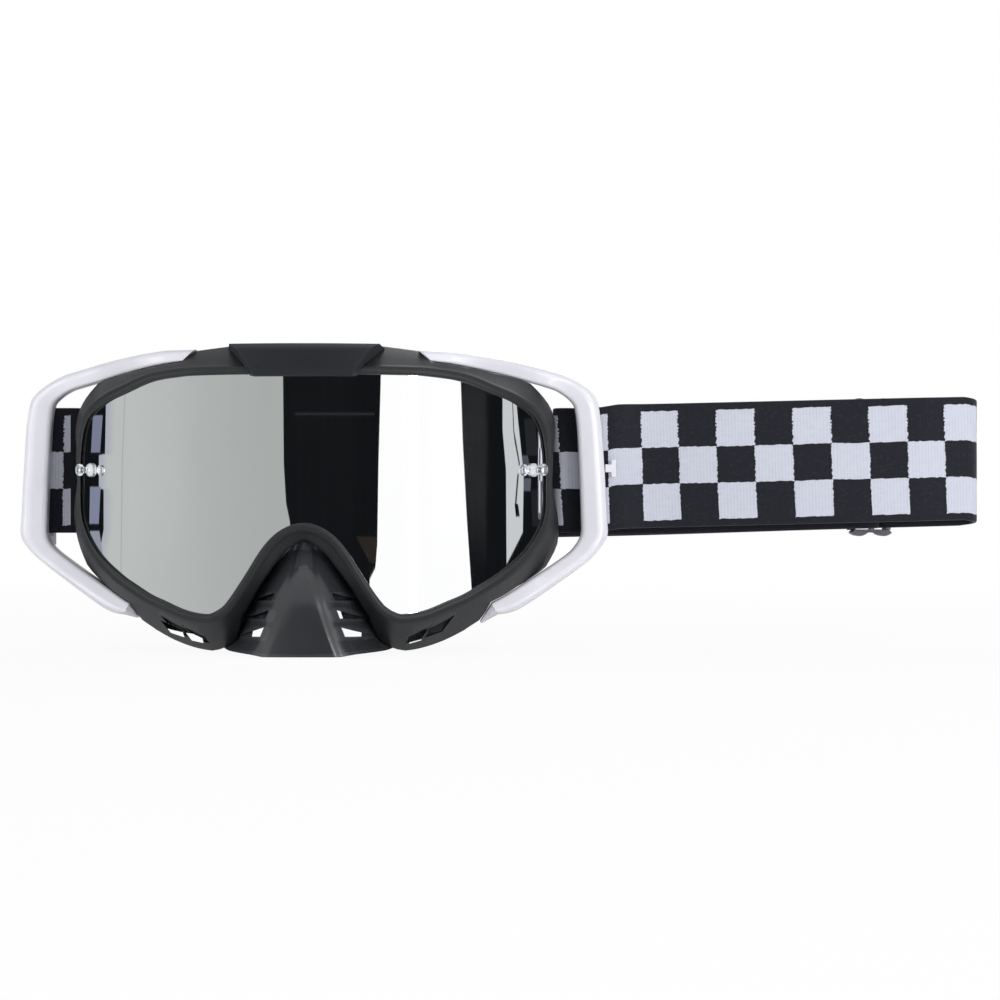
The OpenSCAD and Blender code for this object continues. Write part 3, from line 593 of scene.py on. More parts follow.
def frame_section(s):
    rim_n, run, out = rim_of(s), run_of(s), back_of(s)
    wall_n, seat = s[4] - WALL, LENS_T + LENS_GAP
    shelf_n = min(lap_of(s) + 2 * LENS_GAP, max(wall_n, SHELF_IN + 0.1))
    lap_n = lap_of(s) + LENS_GAP
    inner_a = by_lens(s, wall_n, run + WALL)
    inner_b = by_lens(s, wall_n, 0, seat + SHELF_T + WALL)
    flank, dip = s[4] - rim_n, 0.1 - 0.45 * clamp(-s[1] / 15)
    front, back = by_lens(s, s[4], run), by_face(s, out, 0)
    middle = front.lerp(back, 0.7) + swell_of(s) * Vector((s[2], 0, s[3]))
    return rounded([
        (by_lens(s, 0, -0.7 * LIP_H), 0.35), (by_lens(s, 0.45 * rim_n, -LIP_H), 0.7),
        (by_lens(s, 0.85 * rim_n, -0.5 * LIP_H), 0.4), (by_lens(s, rim_n, dip), 0.5),
        (by_lens(s, rim_n + 0.5 * flank, 0.5 * run - 0.05 * flank), 2.0),
        (front, 0.9), (middle, 2.5), (back, 0.7),
        (by_face(s, out - FLANGE / 2, 0), 1.0), (by_face(s, out - FLANGE, 0), 0.4),
        (by_face(s, out - FLANGE, -WALL), 0.4), (by_face(s, out - WALL, -WALL - 0.4), 0.6),
        (inner_a if inner_a.y > inner_b.y else inner_b, 0.6),
        (by_lens(s, shelf_n, 0, seat + SHELF_T), 0.1),
        (by_lens(s, SHELF_IN, 0, seat + SHELF_T), 0.3),
        (by_lens(s, SHELF_IN, 0, seat), 0.1), (by_lens(s, lap_n, 0, seat), 0.1),
        (by_lens(s, lap_n, 0, -LENS_GAP), 0.1), (by_lens(s, 0, 0, -LENS_GAP), 0.2)])


ring_stations = [station(i / FINE) for i in range(RING_N)]
shell = skinned("frame_shell", [frame_section(s) for s in ring_stations], ring=True)

# Lower vent windows, as offsets from the lobe, with a thin step round each
OUTER_WINDOW = [(15.6, -1.9), (8.2, -5.4), (7.4, -7.9), (12.2, -6.3)]
INNER_WINDOW = [(8, -5), (1.4, -8.1), (1, -9.8), (5, -8.9)]
SLIT = [(6.6, -7.6), (2.4, -8.7), (2.3, -9.2), (6.2, -8.1)]
STEP_W, STEP_D, CLEAR_OF = 0.4, 0.6, -30
surface = BVHTree.FromObject(shell, bpy.context.evaluated_depsgraph_get())


def at_lobe(outline):
    return [(LOBE_X + p[0], -DROP + p[1]) for p in outline]


def step_floor(x, z):
    hit = surface.ray_cast(place((x, CLEAR_OF, z)), Vector((0, 1, 0)))[0]
    return hit.y / MM + SEAT_Y + STEP_D


cutters = []
for outline in (at_lobe(OUTER_WINDOW), at_lobe(INNER_WINDOW)):
    for shape in (outline, mirrored(outline)):
        cutters += [prism("step", grown(shape, STEP_W), CLEAR_OF, step_floor),
                    prism("window", shape, -10, DEPTH - 9)]
    near = [(x + 2, z + 0.8) for x, z in shape]
    cutters.append(prism("window", near, -10, DEPTH + 4, (-5.4, -2.2)))
cutters.append(prism("window", at_lobe(SLIT), -10, DEPTH + 4, (-1.3, -2.2)))
# Slots in the top, and sockets for the tongues of the nose guard
for k in range(-2, 3):
    x = k * 14.4
    cutters.append(prism("slot", box(x - 5.5, x + 5.5, TOP, TOP + 13), DEPTH - 9, DEPTH - 4.4))
TONGUE_Y, TONGUE_T, TONGUE_ROOM = DEPTH - NOSE_CUT - 9.8, 1.6, 0.35
ARCH_LOW = ARCH + ARCH_BAND - 0.5
SIDE_Z, SIDE_X, SIDE_BACK = -(ARCH_LOW + 0.5 * (DROP - ARCH)), 0.46 * LOBE_X, 6.4
# Tongues: x, depth, lowest z, highest z, width
TONGUES = [(0, TONGUE_Y, -ARCH_LOW - 3.5, -ARCH_LOW + 3.8, 8)]
TONGUES += [(x, TONGUE_Y + SIDE_BACK, SIDE_Z - 3.5, SIDE_Z + 6.5, 3.6) for x in (SIDE_X, -SIDE_X)]
for x, y, z0, z1, w in TONGUES:
    room_w, room_t = w / 2 + TONGUE_ROOM, TONGUE_T / 2 + TONGUE_ROOM
    cutters.append(prism("socket", box(x - room_w, x + room_w, z0, z1 + TONGUE_ROOM),
                         y - room_t, y + room_t))
cut(shell, cutters)
dress(sharpen(shell, 38), "mask", "frame", ["main_frame"], frame_black)

# Brow plate: rows of (height over the opening, depth off the lens, bevel, radius)
PLATE = [
    (-0.6, -LIP_H - 0.7, 1.2, 0.4), (2.2, -LIP_H - 1.8, 1.6, 0.8),
    (BROW - 0.4, -LIP_H - 1.4, 1.5, 0.9), (BROW + PLATE_RISE, -0.6, -0.3, 0.5),
    (BROW + PLATE_RISE, PLATE_DEPTH, -0.3, 0.4), (BROW + GAP, PLATE_DEPTH + 0.2, -2.3, 0.3),
    (BROW + GAP, run_of((0, 0, 0, 0, BROW)), -2.3, 0.3), (RIM_W + 0.2, -0.4, 0, 0.3),
    (0.45 * RIM_W, -LIP_H - GAP, 0, 0.2), (-0.6, -0.7 * LIP_H - GAP, 0, 0.2)]
PLATE_N = 61


def plate_ring(u):
    corners = []
    for rise, off, bevel, radius in PLATE:
        x = u * (mix(PLATE_BOTTOM, PLATE_TOP, rise / (BROW + PLATE_RISE)) - bevel)
        corners.append((Vector((x, shell_y(x) + off, TOP + rise)), radius))
    return rounded(corners)


plate = skinned("brow_cover", [plate_ring(2 * i / (PLATE_N - 1) - 1) for i in range(PLATE_N)])
dress(sharpen(plate, 40), "mask", "brow", ["brow_plate"], brow_black)

# Lens
lap_line = [outward(s, lap_of(s)) for s in ring_stations]
LENS_X = max(p[0] for p in lap_line) - 0.02
LENS_COLS, LENS_ROWS = 241, 24


def lens_col(i):
    """Column i of the lens: its x, and the lowest and highest point of the outline there."""
    x = LENS_X * sin((i / (LENS_COLS - 1) - 0.5) * pi)
    found = [a[1] + (b[1] - a[1]) * (x - a[0]) / (b[0] - a[0])
             for a, b in zip(lap_line, lap_line[1:] + lap_line[:1])
             if (a[0] - x) * (b[0] - x) <= 0 and a[0] != b[0]]
    return x, min(found), max(found)


lens_cols = [lens_col(i) for i in range(LENS_COLS)]


def lens_point(i, j):
    x, z0, z1 = lens_cols[i]
    front = j < LENS_ROWS
    f = (j if front else 2 * LENS_ROWS - 1 - j) / (LENS_ROWS - 1)
    return (x, shell_y(x, 0 if front else LENS_T), mix(z0, z1, f))


lens = wrapped("lens_sheet", lens_point, LENS_COLS, 2 * LENS_ROWS)
for face in lens.data.polygons:
    face.material_index = 0 if face.normal.y < 0 else 1
dress(sharpen(lens, 40), "mask", "mirror_lens", ["lens"], mirror_coat(), lens_back)

# Tear-off posts: a profile of (radius, height over the lens) turned round
POST_X, HEAD_R, NECK_R, POST_H = 75.8, 2.05, 1.05, 5.4
POST = [(0.0, -LENS_T - 1), (HEAD_R - 0.3, -LENS_T - 1), (HEAD_R, -LENS_T - 0.8),
        (HEAD_R, -LENS_T - 0.2), (HEAD_R - 0.2, -LENS_T - 0.1), (NECK_R, -LENS_T - 0.1),
        (NECK_R, 0.05), (HEAD_R + 0.2, 0.05), (HEAD_R + 0.3, 0.2), (HEAD_R + 0.3, 0.7),
        (HEAD_R + 0.1, 0.95), (NECK_R + 0.5, 1.4), (NECK_R + 0.1, 1.8), (NECK_R, 2.2),
        (NECK_R, POST_H - 2), (NECK_R + 0.15, POST_H - 1.75), (HEAD_R - 0.25, POST_H - 1.55),
        (HEAD_R, POST_H - 1.3), (HEAD_R, POST_H - 0.6), (HEAD_R - 0.25, POST_H - 0.15),
        (HEAD_R - 0.6, POST_H), (HEAD_R - 0.9, POST_H), (HEAD_R - 1.25, POST_H - 0.35),
        (0.0, POST_H - 0.45)]
for name, side in (("left", -1), ("right", 1)):
    bm = bmesh.new()
    line = [bm.verts.new((r * MM, 0, (LENS_R + h) * MM)) for r, h in POST]
    edges = [bm.edges.new(pair) for pair in zip(line, line[1:])]
    bmesh.ops.spin(bm, geom=line + edges, cent=(0, 0, 0), axis=(0, 0, 1),
                   angle=2 * pi, steps=40, use_merge=True)
    bmesh.ops.remove_doubles(bm, verts=bm.verts, dist=1e-7)
    bm.transform(Matrix.Translation(place((0, LENS_R, 0)))
                 @ Matrix.Rotation(side * asin(POST_X / LENS_R), 4, "Z")
                 @ Matrix.Rotation(radians(90), 4, "X"))
    dress(sharpen(settle("post_" + name, bm), 50), "mask", "clear_post",
          ["tear_off_post_" + name], clear)

# Outriggers: rows of (inner edge, outer edge, front depth, thickness), the edges in x and z
UPPER, LOWER, UPPER_N, LOWER_N, FREE_N = (5, 8), (14, 15), 20, 8, 9


def seat_row(t, w):
    """A row that lies in its step of the frame, w wide."""
    s = half_station(t)
    a, b = by_lens(s, s[4] + GAP, 0), by_lens(s, s[4] + GAP + w, 0)
    return [Vector((a.x, a.z)), Vector((b.x, b.z)), by_lens(s, s[4], run_of(s)).y + 0.8, BLADE_D]


upper_in, upper_out = seat_row(UPPER[0], BLADE_W), seat_row(UPPER[0] - 1, BLADE_W)
upper_tip = [upper_in[0], upper_out[0], upper_in[2], BLADE_D]
upper_rows = [seat_row(mix(UPPER[0] + 0.5, UPPER[1], k / UPPER_N),
                       BLADE_W + BLADE_SWELL * mix(1 / 6, 1, k / UPPER_N))
              for k in range(UPPER_N + 1)]
lower_rows = [seat_row(mix(LOWER[0], LOWER[1], k / LOWER_N),
                       mix(BLADE_W + BLADE_SWELL + LOWER_SPREAD, 4.6, (k / LOWER_N) ** 1.5))
              for k in range(LOWER_N + 1)]


def free_rows(pull):
    """Rows of the free part, round the bar, which the strap pulls in."""
    b, c, d = BAR_X - pull, BAR_OUT - pull, pull / 2
    rows = [
        ((b + d - 9.6, BAR_TOP + 5.2), (b + pull - 7.2, BAR_TOP + 10.6), BAR_Y - 7.5, BLADE_D),
        ((b - 3.2, BAR_TOP + 1.8), (c + d - 7, BAR_TOP + 5.8), BAR_Y - 2, BAR_D + 1),
        ((b - 1.2, BAR_TOP - 1.4), (c - 2.4, BAR_TOP + 0.4), BAR_Y, BAR_D),
        ((b, BAR_TOP - 17), (c - 0.6, BAR_TOP - 17), BAR_Y, BAR_D),
        ((b + 0.9, 6 - BAR_DROP), (c + 0.7, 6 - BAR_DROP), BAR_Y, BAR_D),
        ((b + 0.8, 1 - BAR_DROP), (c + 0.9, 1 - BAR_DROP), BAR_Y, BAR_D),
        ((b - 0.6, -2 - BAR_DROP), (c - 1, -2.8 - BAR_DROP), BAR_Y - 0.6, BAR_D),
        ((b + d - 5, -5.8 - BAR_DROP), (c + d - 7.4, -8.6 - BAR_DROP), BAR_Y - 4, BAR_D + 1)]
    rows = [[Vector(r[0]), Vector(r[1]), r[2], r[3]] for r in rows]
    return [upper_rows[-1]] + rows + [lower_rows[0]]


def arm_rows(pull):
    free, rows = free_rows(pull), []

    def slope(k, e):
        return (free[min(k + 1, len(free) - 1)][e] - free[max(k - 1, 0)][e]).normalized()

    for i, (a, b) in enumerate(zip(free, free[1:])):
        for k in range(0 if i else 1, FREE_N):
            t = k / FREE_N
            rows.append([curve(a[e], slope(i, e), b[e], slope(i + 1, e), t) for e in (0, 1)]
                        + [mix(a[e], b[e], t) for e in (2, 3)])
    rows = [upper_tip] + upper_rows + rows + lower_rows
    rows.append(seat_row(LOWER[1] + 0.7 + 0.15 * pull, 1))
    # the rows are eased, most of all where the upper blade leaves its seat
    joint = len(upper_rows)
    for first, last, times in ((2, len(rows) - 2, 5), (joint - 12, joint + 9, 25)):
        for _ in range(times):
            eased = [[(a[i] + 2 * b[i] + c[i]) / 4 for i in range(4)]
                     for a, b, c in zip(rows[first - 1:], rows[first:last], rows[first + 1:])]
            rows = rows[:first] + eased + rows[last:]
    return rows


def arm_section(r, side):
    """The section of a row: (share of its width, depth, radius) of each corner."""
    corners = []
    for n, y, radius in ((0.04, 0.5, 0.3), (0.14, 0, 0.5), (0.6, 0.06, 0.4), (0.8, 0.5, 0.4),
                         (1, 2.2, 0.7), (1, r[3] - 0.8, 0.5), (0.85, r[3], 0.5),
                         (0.12, r[3], 0.5), (0.02, r[3] - 0.6, 0.4), (0, 1.2, 0.4)):
        p = r[0].lerp(r[1], n)
        corners.append((Vector((side * p.x, r[2] + y, p.y)), radius))
    return rounded(corners)


for name, side, pull in (("left", -1, 0), ("right", 1, BAR_PULL)):
    arm = skinned("outrigger_arm_" + name, [arm_section(r, side) for r in arm_rows(pull)])
    dress(sharpen(arm, 50), "mask", "outrigger", ["outrigger_" + name], pearl_white)

# Nose guard
GUARD_TOP, GUARD_DROP, GUARD_NOSE, GUARD_T = ARCH_LOW + 3.4, 61.4, 8, 1.8
FACET_TOP, FACET_W, FACET_BOW = 2.2, 11.6, 1.45
GUARD_SIDE, GUARD_GAP, GUARD_LIFT, SIDE_BOW = 0.9 * LOBE_X, 0.2, 1.3, 1.8
RETURN_D, GUARD_N, EDGE_N = 7, 60, 120


def guard_v(drop):
    return clamp((drop - GUARD_TOP) / (GUARD_DROP - GUARD_TOP))


def facet_x(v):
    return mix(FACET_TOP, FACET_W, v**FACET_BOW)


def facet_y(v):
    return TONGUE_Y - 1.9 - (TONGUE_Y - 1.9 + GUARD_NOSE) * (1 - (1 - v) ** 2.6)


def side_y(v):
    return TONGUE_Y - 0.4 + 13 * v


def flank_at(s, y):
    """How far out the flank of the frame stands at a depth behind the lens apex."""
    near, far = by_lens(s, s[4], run_of(s)).y, by_face(s, back_of(s), 0).y
    return mix(s[4], back_of(s), clamp((y - near) / (far - near)))


def edge_line(extra):
    """The side of the arch as (drop, x), where the flank stands a bit behind the guard."""
    line = []
    for k in range(EDGE_N + 1):
        s = half_station(mix(LAST, LOBE_AT, k / EDGE_N))
        drop = -by_lens(s, s[4], 0).z
        p = by_lens(s, flank_at(s, side_y(guard_v(drop)) + extra), 0)
        line.append((-p.z, p.x))
    return line


arch_edge, arch_edge_deep = edge_line(0), edge_line(RETURN_D)


def arch_x(drop, line=arch_edge):
    for a, b in zip(line, line[1:]):
        if a[0] <= drop <= b[0]:
            f = (drop - a[0]) / max(b[0] - a[0], 1e-6)
            return min(mix(a[1], b[1], f) - GUARD_GAP, GUARD_SIDE)
    return GUARD_SIDE


# Points from the ridge to the side: share of the way, and share of the lift at the bottom
QUARTERS = [(0.15, 0.3), (0.3, 0.5), (0.45, 0.57), (0.6, 0.6), (0.72, 0.6), (0.85, 0.62),
            (0.93, 0.76), (1, 1)]


def flipped(points):
    return [Vector((-p.x, p.y, p.z)) for p in reversed(points)]


def guard_ring(v):
    drop, lift = mix(GUARD_TOP, GUARD_DROP, v), GUARD_LIFT * v**6
    narrow = clamp(1 + 6 * v)
    v = max(v, 0)
    a, y, w = facet_x(v) * narrow, facet_y(v), side_y(v)
    b = max(arch_x(drop - lift), a + 2.6)
    right = [(a * 0.5, y - 0.1), (a - 1.3, y), (a - 0.5, y + 0.2), (a + 0.3, y + 0.58),
             (a + 1, y + 1.05), (a + 1.5, y + 1.3)]
    side = [Vector((x, d, -drop)) for x, d in right]
    side += [Vector((mix(a + 1.2, b, q), mix(y + 1.3, w, q**SIDE_BOW), lift * rise - drop))
             for q, rise in QUARTERS]
    front = flipped(side) + [Vector((0, y - 0.2, -drop))] + side
    shrink = 1 - GUARD_T / (2.4 * GUARD_SIDE)
    back = [Vector((p.x * shrink, p.y + GUARD_T, p.z)) for p in reversed(front)]
    deep = mix(GUARD_T + 0.2, RETURN_D, clamp(8 * v))
    wider = max(0, arch_x(drop - lift, arch_edge_deep) - b) * clamp(8 * v)
    walls = [Vector((side[-1].x * f + wider, w + deep, side[-1].z)) for f in (1, shrink)]
    return front + walls + back + flipped(walls)


TOP_V = (ARCH_LOW + 0.8 - GUARD_TOP) / (GUARD_DROP - GUARD_TOP)
guard_rings = [guard_ring(mix(TOP_V, 1, k / GUARD_N)) for k in range(GUARD_N + 1)]
guard = skinned("nose_shield", guard_rings)
# Louvres: upper and lower edge of the first, and how far each hole reaches, right and left
LOUVRE_W = 7.8
LOUVRE_TOP = (Vector((0, 0)), Vector((LOUVRE_W, -2.8)))
LOUVRE_LOW = (Vector((1, -2.5)), Vector((LOUVRE_W - 0.6, -3.05)))
HOLE_ENDS = ((0.75, 0.75), (0.75, 0.75), (0.62, 0.45))


def louvre(k, start, stop):
    """The outline of louvre k between two shares of its length."""
    base = Vector((9.4 + 1.6 * k, -ARCH - 22.9 - 5.6 * k))
    corners = ((LOUVRE_TOP, start), (LOUVRE_TOP, stop), (LOUVRE_LOW, stop), (LOUVRE_LOW, start))
    return [tuple(base + (1 + 0.12 * k) * edge[0].lerp(edge[1], share)) for edge, share in corners]


def inside(back):
    """The depth of the inside of the guard and a bit more, as a function of x and z."""
    def depth(x, z):
        v = guard_v(-z)
        a, b = facet_x(v) + 0.7, arch_x(-z)
        share = max(0, (abs(x) - a) / (b - a)) ** SIDE_BOW
        return mix(facet_y(v) + 1.2, side_y(v), share) + 0.75 * GUARD_T + back
    return depth


cutters = []
for k, (right_end, left_end) in enumerate(HOLE_ENDS):
    groove = louvre(k, 0.3, 1)
    left_hole = mirrored(louvre(k, 0, left_end))
    cutters += [prism("louvre", hole, -20, 30) for hole in (louvre(k, 0, right_end), left_hole)]
    cutters += [prism("groove", side, CLEAR_OF, inside(0)) for side in (groove, mirrored(groove))]
    # dark sheets behind the upper two, put there as painted shade: they stand for the shade seen
    # through these louvres
    if k < 2:
        for outline in (grown(louvre(k, 0.16 * k, 0.75), 0.8 - 0.5 * k), grown(left_hole, 0.8)):
            # painted shade: a near-black sheet behind each hole
            plate = prism("louvre_shade_sheet", outline, inside(1.2), inside(1.7))
            dress(plate, "guard", "guard", (), louvre_shade_black)
cut(guard, cutters)
sharpen(guard, 30)
edge_round = guard.modifiers.new("edge", "BEVEL")
edge_round.width, edge_round.segments = 0.22 * MM, 2
edge_round.limit_method, edge_round.angle_limit = "ANGLE", radians(40)
dress(guard, "guard", "guard", ["nose_guard"], guard_black)

tongues = bmesh.new()
for x, y, z0, z1, w in TONGUES:
    extrude(tongues, box(x - w / 2, x + w / 2, z0, z1), y - TONGUE_T / 2, y + TONGUE_T / 2)
ease(tongues, 1, 0.3, 2)
dress(settle("shield_tongues", tongues), "guard", "guard", (), guard_black)

# Face foam
FOAM_STEP, FOAM_EASING = 4, 36
FOAM_RING = 2 * LAST * FOAM_STEP
foam_edge = [back_of(station(i / FOAM_STEP)) - 0.4 for i in range(FOAM_RING)]
for _ in range(FOAM_EASING):
    foam_edge = [(foam_edge[i - 1] + 2 * foam_edge[i] + foam_edge[(i + 1) % FOAM_RING]) / 4
                 for i in range(FOAM_RING)]


def pad(piece, slot, node, finish):
    dress(piece, "mask", slot, [node], finish)


def foam_layer(name, node, slot, depth, t, side, crown, lump, finish, edge=0.6):
    """A closed ring of foam, rounded at both sides, crowned and a little uneven."""
    rings = []
    half = FOAM_W / 2 + side
    right = [(half - edge, 0), (half - 0.3 * edge, 0.12 * t), (half, 0.5 * t),
             (half - 0.3 * edge, 0.88 * t), (half - edge, t), (half / 2, t + 0.75 * crown)]
    section = [(0, 0)] + right + [(0, t + crown)] + [(-n, d) for n, d in reversed(right)]
    for i in range(FOAM_RING):
        rings.append([])
        for n, d in section:
            p = by_face(station(i / FOAM_STEP), foam_edge[i] - FOAM_W / 2 + n, depth + d)
            if d > 0.3 * t:
                p.y += lump * (noise.noise(p * 0.12) + 0.5 * noise.noise(p * 0.45)) * d / t
            rings[-1].append(p)
    layer = skinned(name, rings, ring=True)
    soft = layer.modifiers.new("soft", "SUBSURF")
    soft.levels = soft.render_levels = 1
    pad(layer, slot, node, finish)


foam_layer("foam_next_to_frame", "face_foam_base", "open_foam", GAP, FOAM_T[0], 0, 0, 0.08,
           open_foam)
foam_layer("foam_middle", "face_foam_middle", "dense_foam", FOAM_T[0] + 2 * GAP, FOAM_T[1], 0.45, 0,
           0.08, dense_foam)
foam_layer("fleece_lining", "face_fleece", "fleece", FOAM_T[0] + FOAM_T[1] + 3 * GAP,
           FOAM_T[2] - 0.8, 0.9, 0.8, 0.12, fleece_pile(), 0.9)

# Filter strip behind the top vents
STRIP_N, STRIP_T = 24, 2.6
strip_rings = []
for k in range(-STRIP_N, STRIP_N + 1):
    s = station(abs(k) / 12)
    s = (copysign(s[0], k) if k else 0, s[1], copysign(1, k) * s[2], s[3], s[4])
    near = run_of(s) + WALL + 1.6
    a, b = s[4] - WALL - 1.7 * GAP, back_of(s) - WALL - GAP
    strip_rings.append(rounded([
        (by_lens(s, a, near), 0.5), (by_face(s, b, -WALL - 0.8), 0.5),
        (by_face(s, b - STRIP_T, -WALL - 0.8), 0.5), (by_lens(s, a - STRIP_T, near), 0.5)]))
pad(skinned("top_filter", strip_rings), "filter_foam", "vent_foam_top", filter_foam)

# Strap
FOLD_X, BACK_Y, SLIDER_X, SLIDER_IN, SLIDER_OUT = 237, 82, 199, 90, 20
LAYER = STRAP_T + GAP
FRONT_Y = BAR_Y + BAR_D + 0.5 + STRAP_T / 2
HANGER_Y, HANGER_T = FRONT_Y + STRAP_T / 2 + GAP, 4.4
HANGER_IN, HANGER_OUT = BAR_X - HANGER_REACH, BAR_X + 3
WRAP_X, WRAP_Y = HANGER_IN + HANGER_T / 2, HANGER_Y + HANGER_T / 2
WRAP_R = HANGER_T / 2 + GAP + STRAP_T / 2
REAR_Y, RETURN_Y, TAIL_Y = WRAP_Y + WRAP_R, BACK_Y - LAYER, BACK_Y - 2 * LAYER
FOLD_R = 4.6
FOLD_C, FOLD_Y = FOLD_X - STRAP_T / 2 - FOLD_R, BACK_Y - 2 * FOLD_R
RUN_IN = BAR_OUT + 11.4
HANGER_RISE, FRONT_RISE, FRONT_SLOPE = 0.2, 1.55, 0.0242
SLIDER_Z, BACK_SLOPE, FOAM_X, RISE_FROM = 1.6, 0.028, 80, HANGER_OUT + 0.6
LOOP_X = -HANGER_OUT - 0.5


def front_z(x):
    rise = mix(HANGER_RISE, FRONT_RISE, clamp((x - RISE_FROM) / BAR_W))
    return rise + FRONT_SLOPE * max(0, x - BAR_OUT)


def back_z(x):
    if x > FOAM_X:
        return SLIDER_Z + BACK_SLOPE * (x - SLIDER_X)
    return mix(back_z(FOAM_X + 0.001), HANGER_RISE, (FOAM_X - x) / (FOAM_X - LOOP_X))


def bend(cx, cy, rx, ry, start, stop, n):
    """Points of an elliptic bend seen from above, between two angles."""
    return [(cx + rx * cos(radians(mix(start, stop, k / n))),
             cy + ry * sin(radians(mix(start, stop, k / n)))) for k in range(n + 1)]


def lifted(path, z_of):
    return [(x, y, z_of(x)) for x, y in path]


def smooth_path(path, step):
    """The path through the same points, with a point about every step."""
    pts = [Vector(p) for p in path]
    out = []
    for i in range(len(pts) - 1):
        p0, p1, p2, p3 = pts[max(i - 1, 0)], pts[i], pts[i + 1], pts[min(i + 2, len(pts) - 1)]
        n = max(1, round((p2 - p1).length / step))
        out += [curve(p1, (p2 - p0).normalized(), p2, (p3 - p1).normalized(), k / n)
                for k in range(n)]
    return out + [pts[-1]]


# Around the webbing: (height, thickness) of half of it, edge rolled, then the same turned
ACROSS_N, EDGE_R = 30, 0.7
FLAT_H = STRAP_W / 2 - EDGE_R
half = [(mix(-FLAT_H, FLAT_H, k / ACROSS_N), STRAP_T / 2) for k in range(ACROSS_N + 1)]
half += [(FLAT_H + EDGE_R * u, STRAP_T / 2 * v) for v, u in bend(0, 0, 1, 1, 36, 144, 3)]
SECTION = half + [(-a, -b) for a, b in half]

front_path = lifted([
    (RUN_IN + 10, FRONT_Y + 9.1), (RUN_IN, FRONT_Y + 7.1), (RUN_IN - 6, FRONT_Y + 6.3),
    (RUN_IN - 12, REAR_Y), (WRAP_X + 4, REAR_Y)], front_z)
front_path += lifted(bend(WRAP_X, WRAP_Y, WRAP_R, WRAP_R, 90, 270, 10), lambda x: HANGER_RISE)
front_path += lifted([
    (RISE_FROM, FRONT_Y), (BAR_OUT, FRONT_Y), (BAR_OUT + 3, FRONT_Y + 0.9),
    (RUN_IN, FRONT_Y + 5.1), (RUN_IN + 4, FRONT_Y + 6), (RUN_IN + 14, FRONT_Y + 6.9),
    (FOLD_C - 18, FOLD_Y - 3.4), (FOLD_C - 8, FOLD_Y - 1.7)], front_z)
back_path = [(x, y, mix(front_z(FOLD_C), back_z(FOLD_C), k / 12)) for k, (x, y) in
             enumerate(bend(FOLD_C, BACK_Y - FOLD_R, FOLD_R, FOLD_R, -90, 90, 12))]
back_path += lifted([(SLIDER_X, BACK_Y), (FOAM_X, BACK_Y), (0, BACK_Y)], back_z)
loop_path = lifted(
    bend(LOOP_X, (FRONT_Y + BACK_Y) / 2, 5, (BACK_Y - FRONT_Y) / 2, 90, 270, 16)
    + bend(-WRAP_X, WRAP_Y, WRAP_R, WRAP_R, -90, 90, 10)
    + bend(LOOP_X, (REAR_Y + RETURN_Y) / 2, 2.2, (RETURN_Y - REAR_Y) / 2, 270, 90, 12),
    lambda x: HANGER_RISE)
RETURN_END = SLIDER_X - SLIDER_IN - 23
return_path = lifted([(x, RETURN_Y) for x in (0, FOAM_X, RETURN_END)], back_z)
PIN_R = 1.1
PIN_Y = BACK_Y - STRAP_T / 2 - GAP - STRAP_T - 0.15 - PIN_R
SEW_R = PIN_R + 0.15 + STRAP_T / 2
tail_path = [(RETURN_END - SLIDER_OUT - 6, TAIL_Y)] + [(SLIDER_X + x, y) for x, y in [
    (-60, TAIL_Y), (-14, TAIL_Y), (-9, TAIL_Y - 0.4), (-3.4, PIN_Y - SEW_R + 0.1),
    *bend(0, PIN_Y, SEW_R, SEW_R, -90, 90, 8), (-4, PIN_Y + SEW_R - 0.02),
    (-10, TAIL_Y + STRAP_T + 0.12), (-18, TAIL_Y + STRAP_T + 0.12)]]
# A UV height beyond the rows of checks, where the webbing shows plain navy as painted shade
PAINTED_SHADE_H = 60


class Ribbon:
    """Webbing along a path seen from above. Its UV is the pattern's run and the height."""

    def __init__(self, path, step=1.6):
        self.line = smooth_path(path, step)
        self.runs = [0.0]
        for a, b in zip(self.line, self.line[1:]):
            self.runs.append(self.runs[-1] + (b.xy - a.xy).length)
        self.shifts, self.painted_shade_from = [(0, 0, 0)], inf

    def run_at(self, x, way=1):
        """The run at which the path first passes x, to the right or to the left."""
        for i in range(1, len(self.line)):
            a, b = self.line[i - 1].x, self.line[i].x
            if way * a < way * x <= way * b:
                return mix(self.runs[i - 1], self.runs[i], (x - a) / (b - a))
        return 0.0

    def paint_shade_from(self, x):
        """The webbing is painted plain navy from x on, as painted shade beside the left bar: two
        close points there give the checks an end.
        """
        run = self.run_at(x)
        i = next(i for i, r in enumerate(self.runs) if r > run)
        f = (run - self.runs[i - 1]) / (self.runs[i] - self.runs[i - 1])
        for k in (0, 1):
            self.line.insert(i + k, self.line[i - 1].lerp(self.line[i + k], f + 0.01 * k))
            self.runs.insert(i + k, run + 0.01 * k)
        self.painted_shade_from = run

    def pattern(self, run, h):
        """Pattern run of a point: the shift and the lean change between the marks."""
        marks = self.shifts
        k = max([0] + [i for i in range(len(marks)) if marks[i][0] <= run])
        a, b = marks[k], marks[min(k + 1, len(marks) - 1)]
        f = clamp((run - a[0]) / max(b[0] - a[0], 1e-6))
        return run + mix(a[1], b[1], f) + mix(a[2], b[2], f) * h

    def build(self, name, soft=0.0):
        line, runs = self.line, self.runs

        def point(i, j):
            a, b = line[max(i - 1, 0)], line[min(i + 1, len(line) - 1)]
            d = Vector((b.x - a.x, b.y - a.y, 0)).normalized()
            c, (h, t) = line[i], SECTION[j]
            edge = 1 - (abs(h) / (STRAP_W / 2)) ** 8
            t += soft * noise.noise(Vector((runs[i] * 0.05, h * 0.06, 3.1))) * edge
            return Vector((c.x + d.y * t, c.y - d.x * t, c.z + h))

        def uv(i, j):
            h, run = SECTION[j % len(SECTION)][0], runs[min(i, len(runs) - 1)]
            return (self.pattern(run, h) * MM, (h + (run > self.painted_shade_from) * PAINTED_SHADE_H) * MM)

        return sharpen(wrapped(name, point, len(line), len(SECTION), uv=uv), 50)
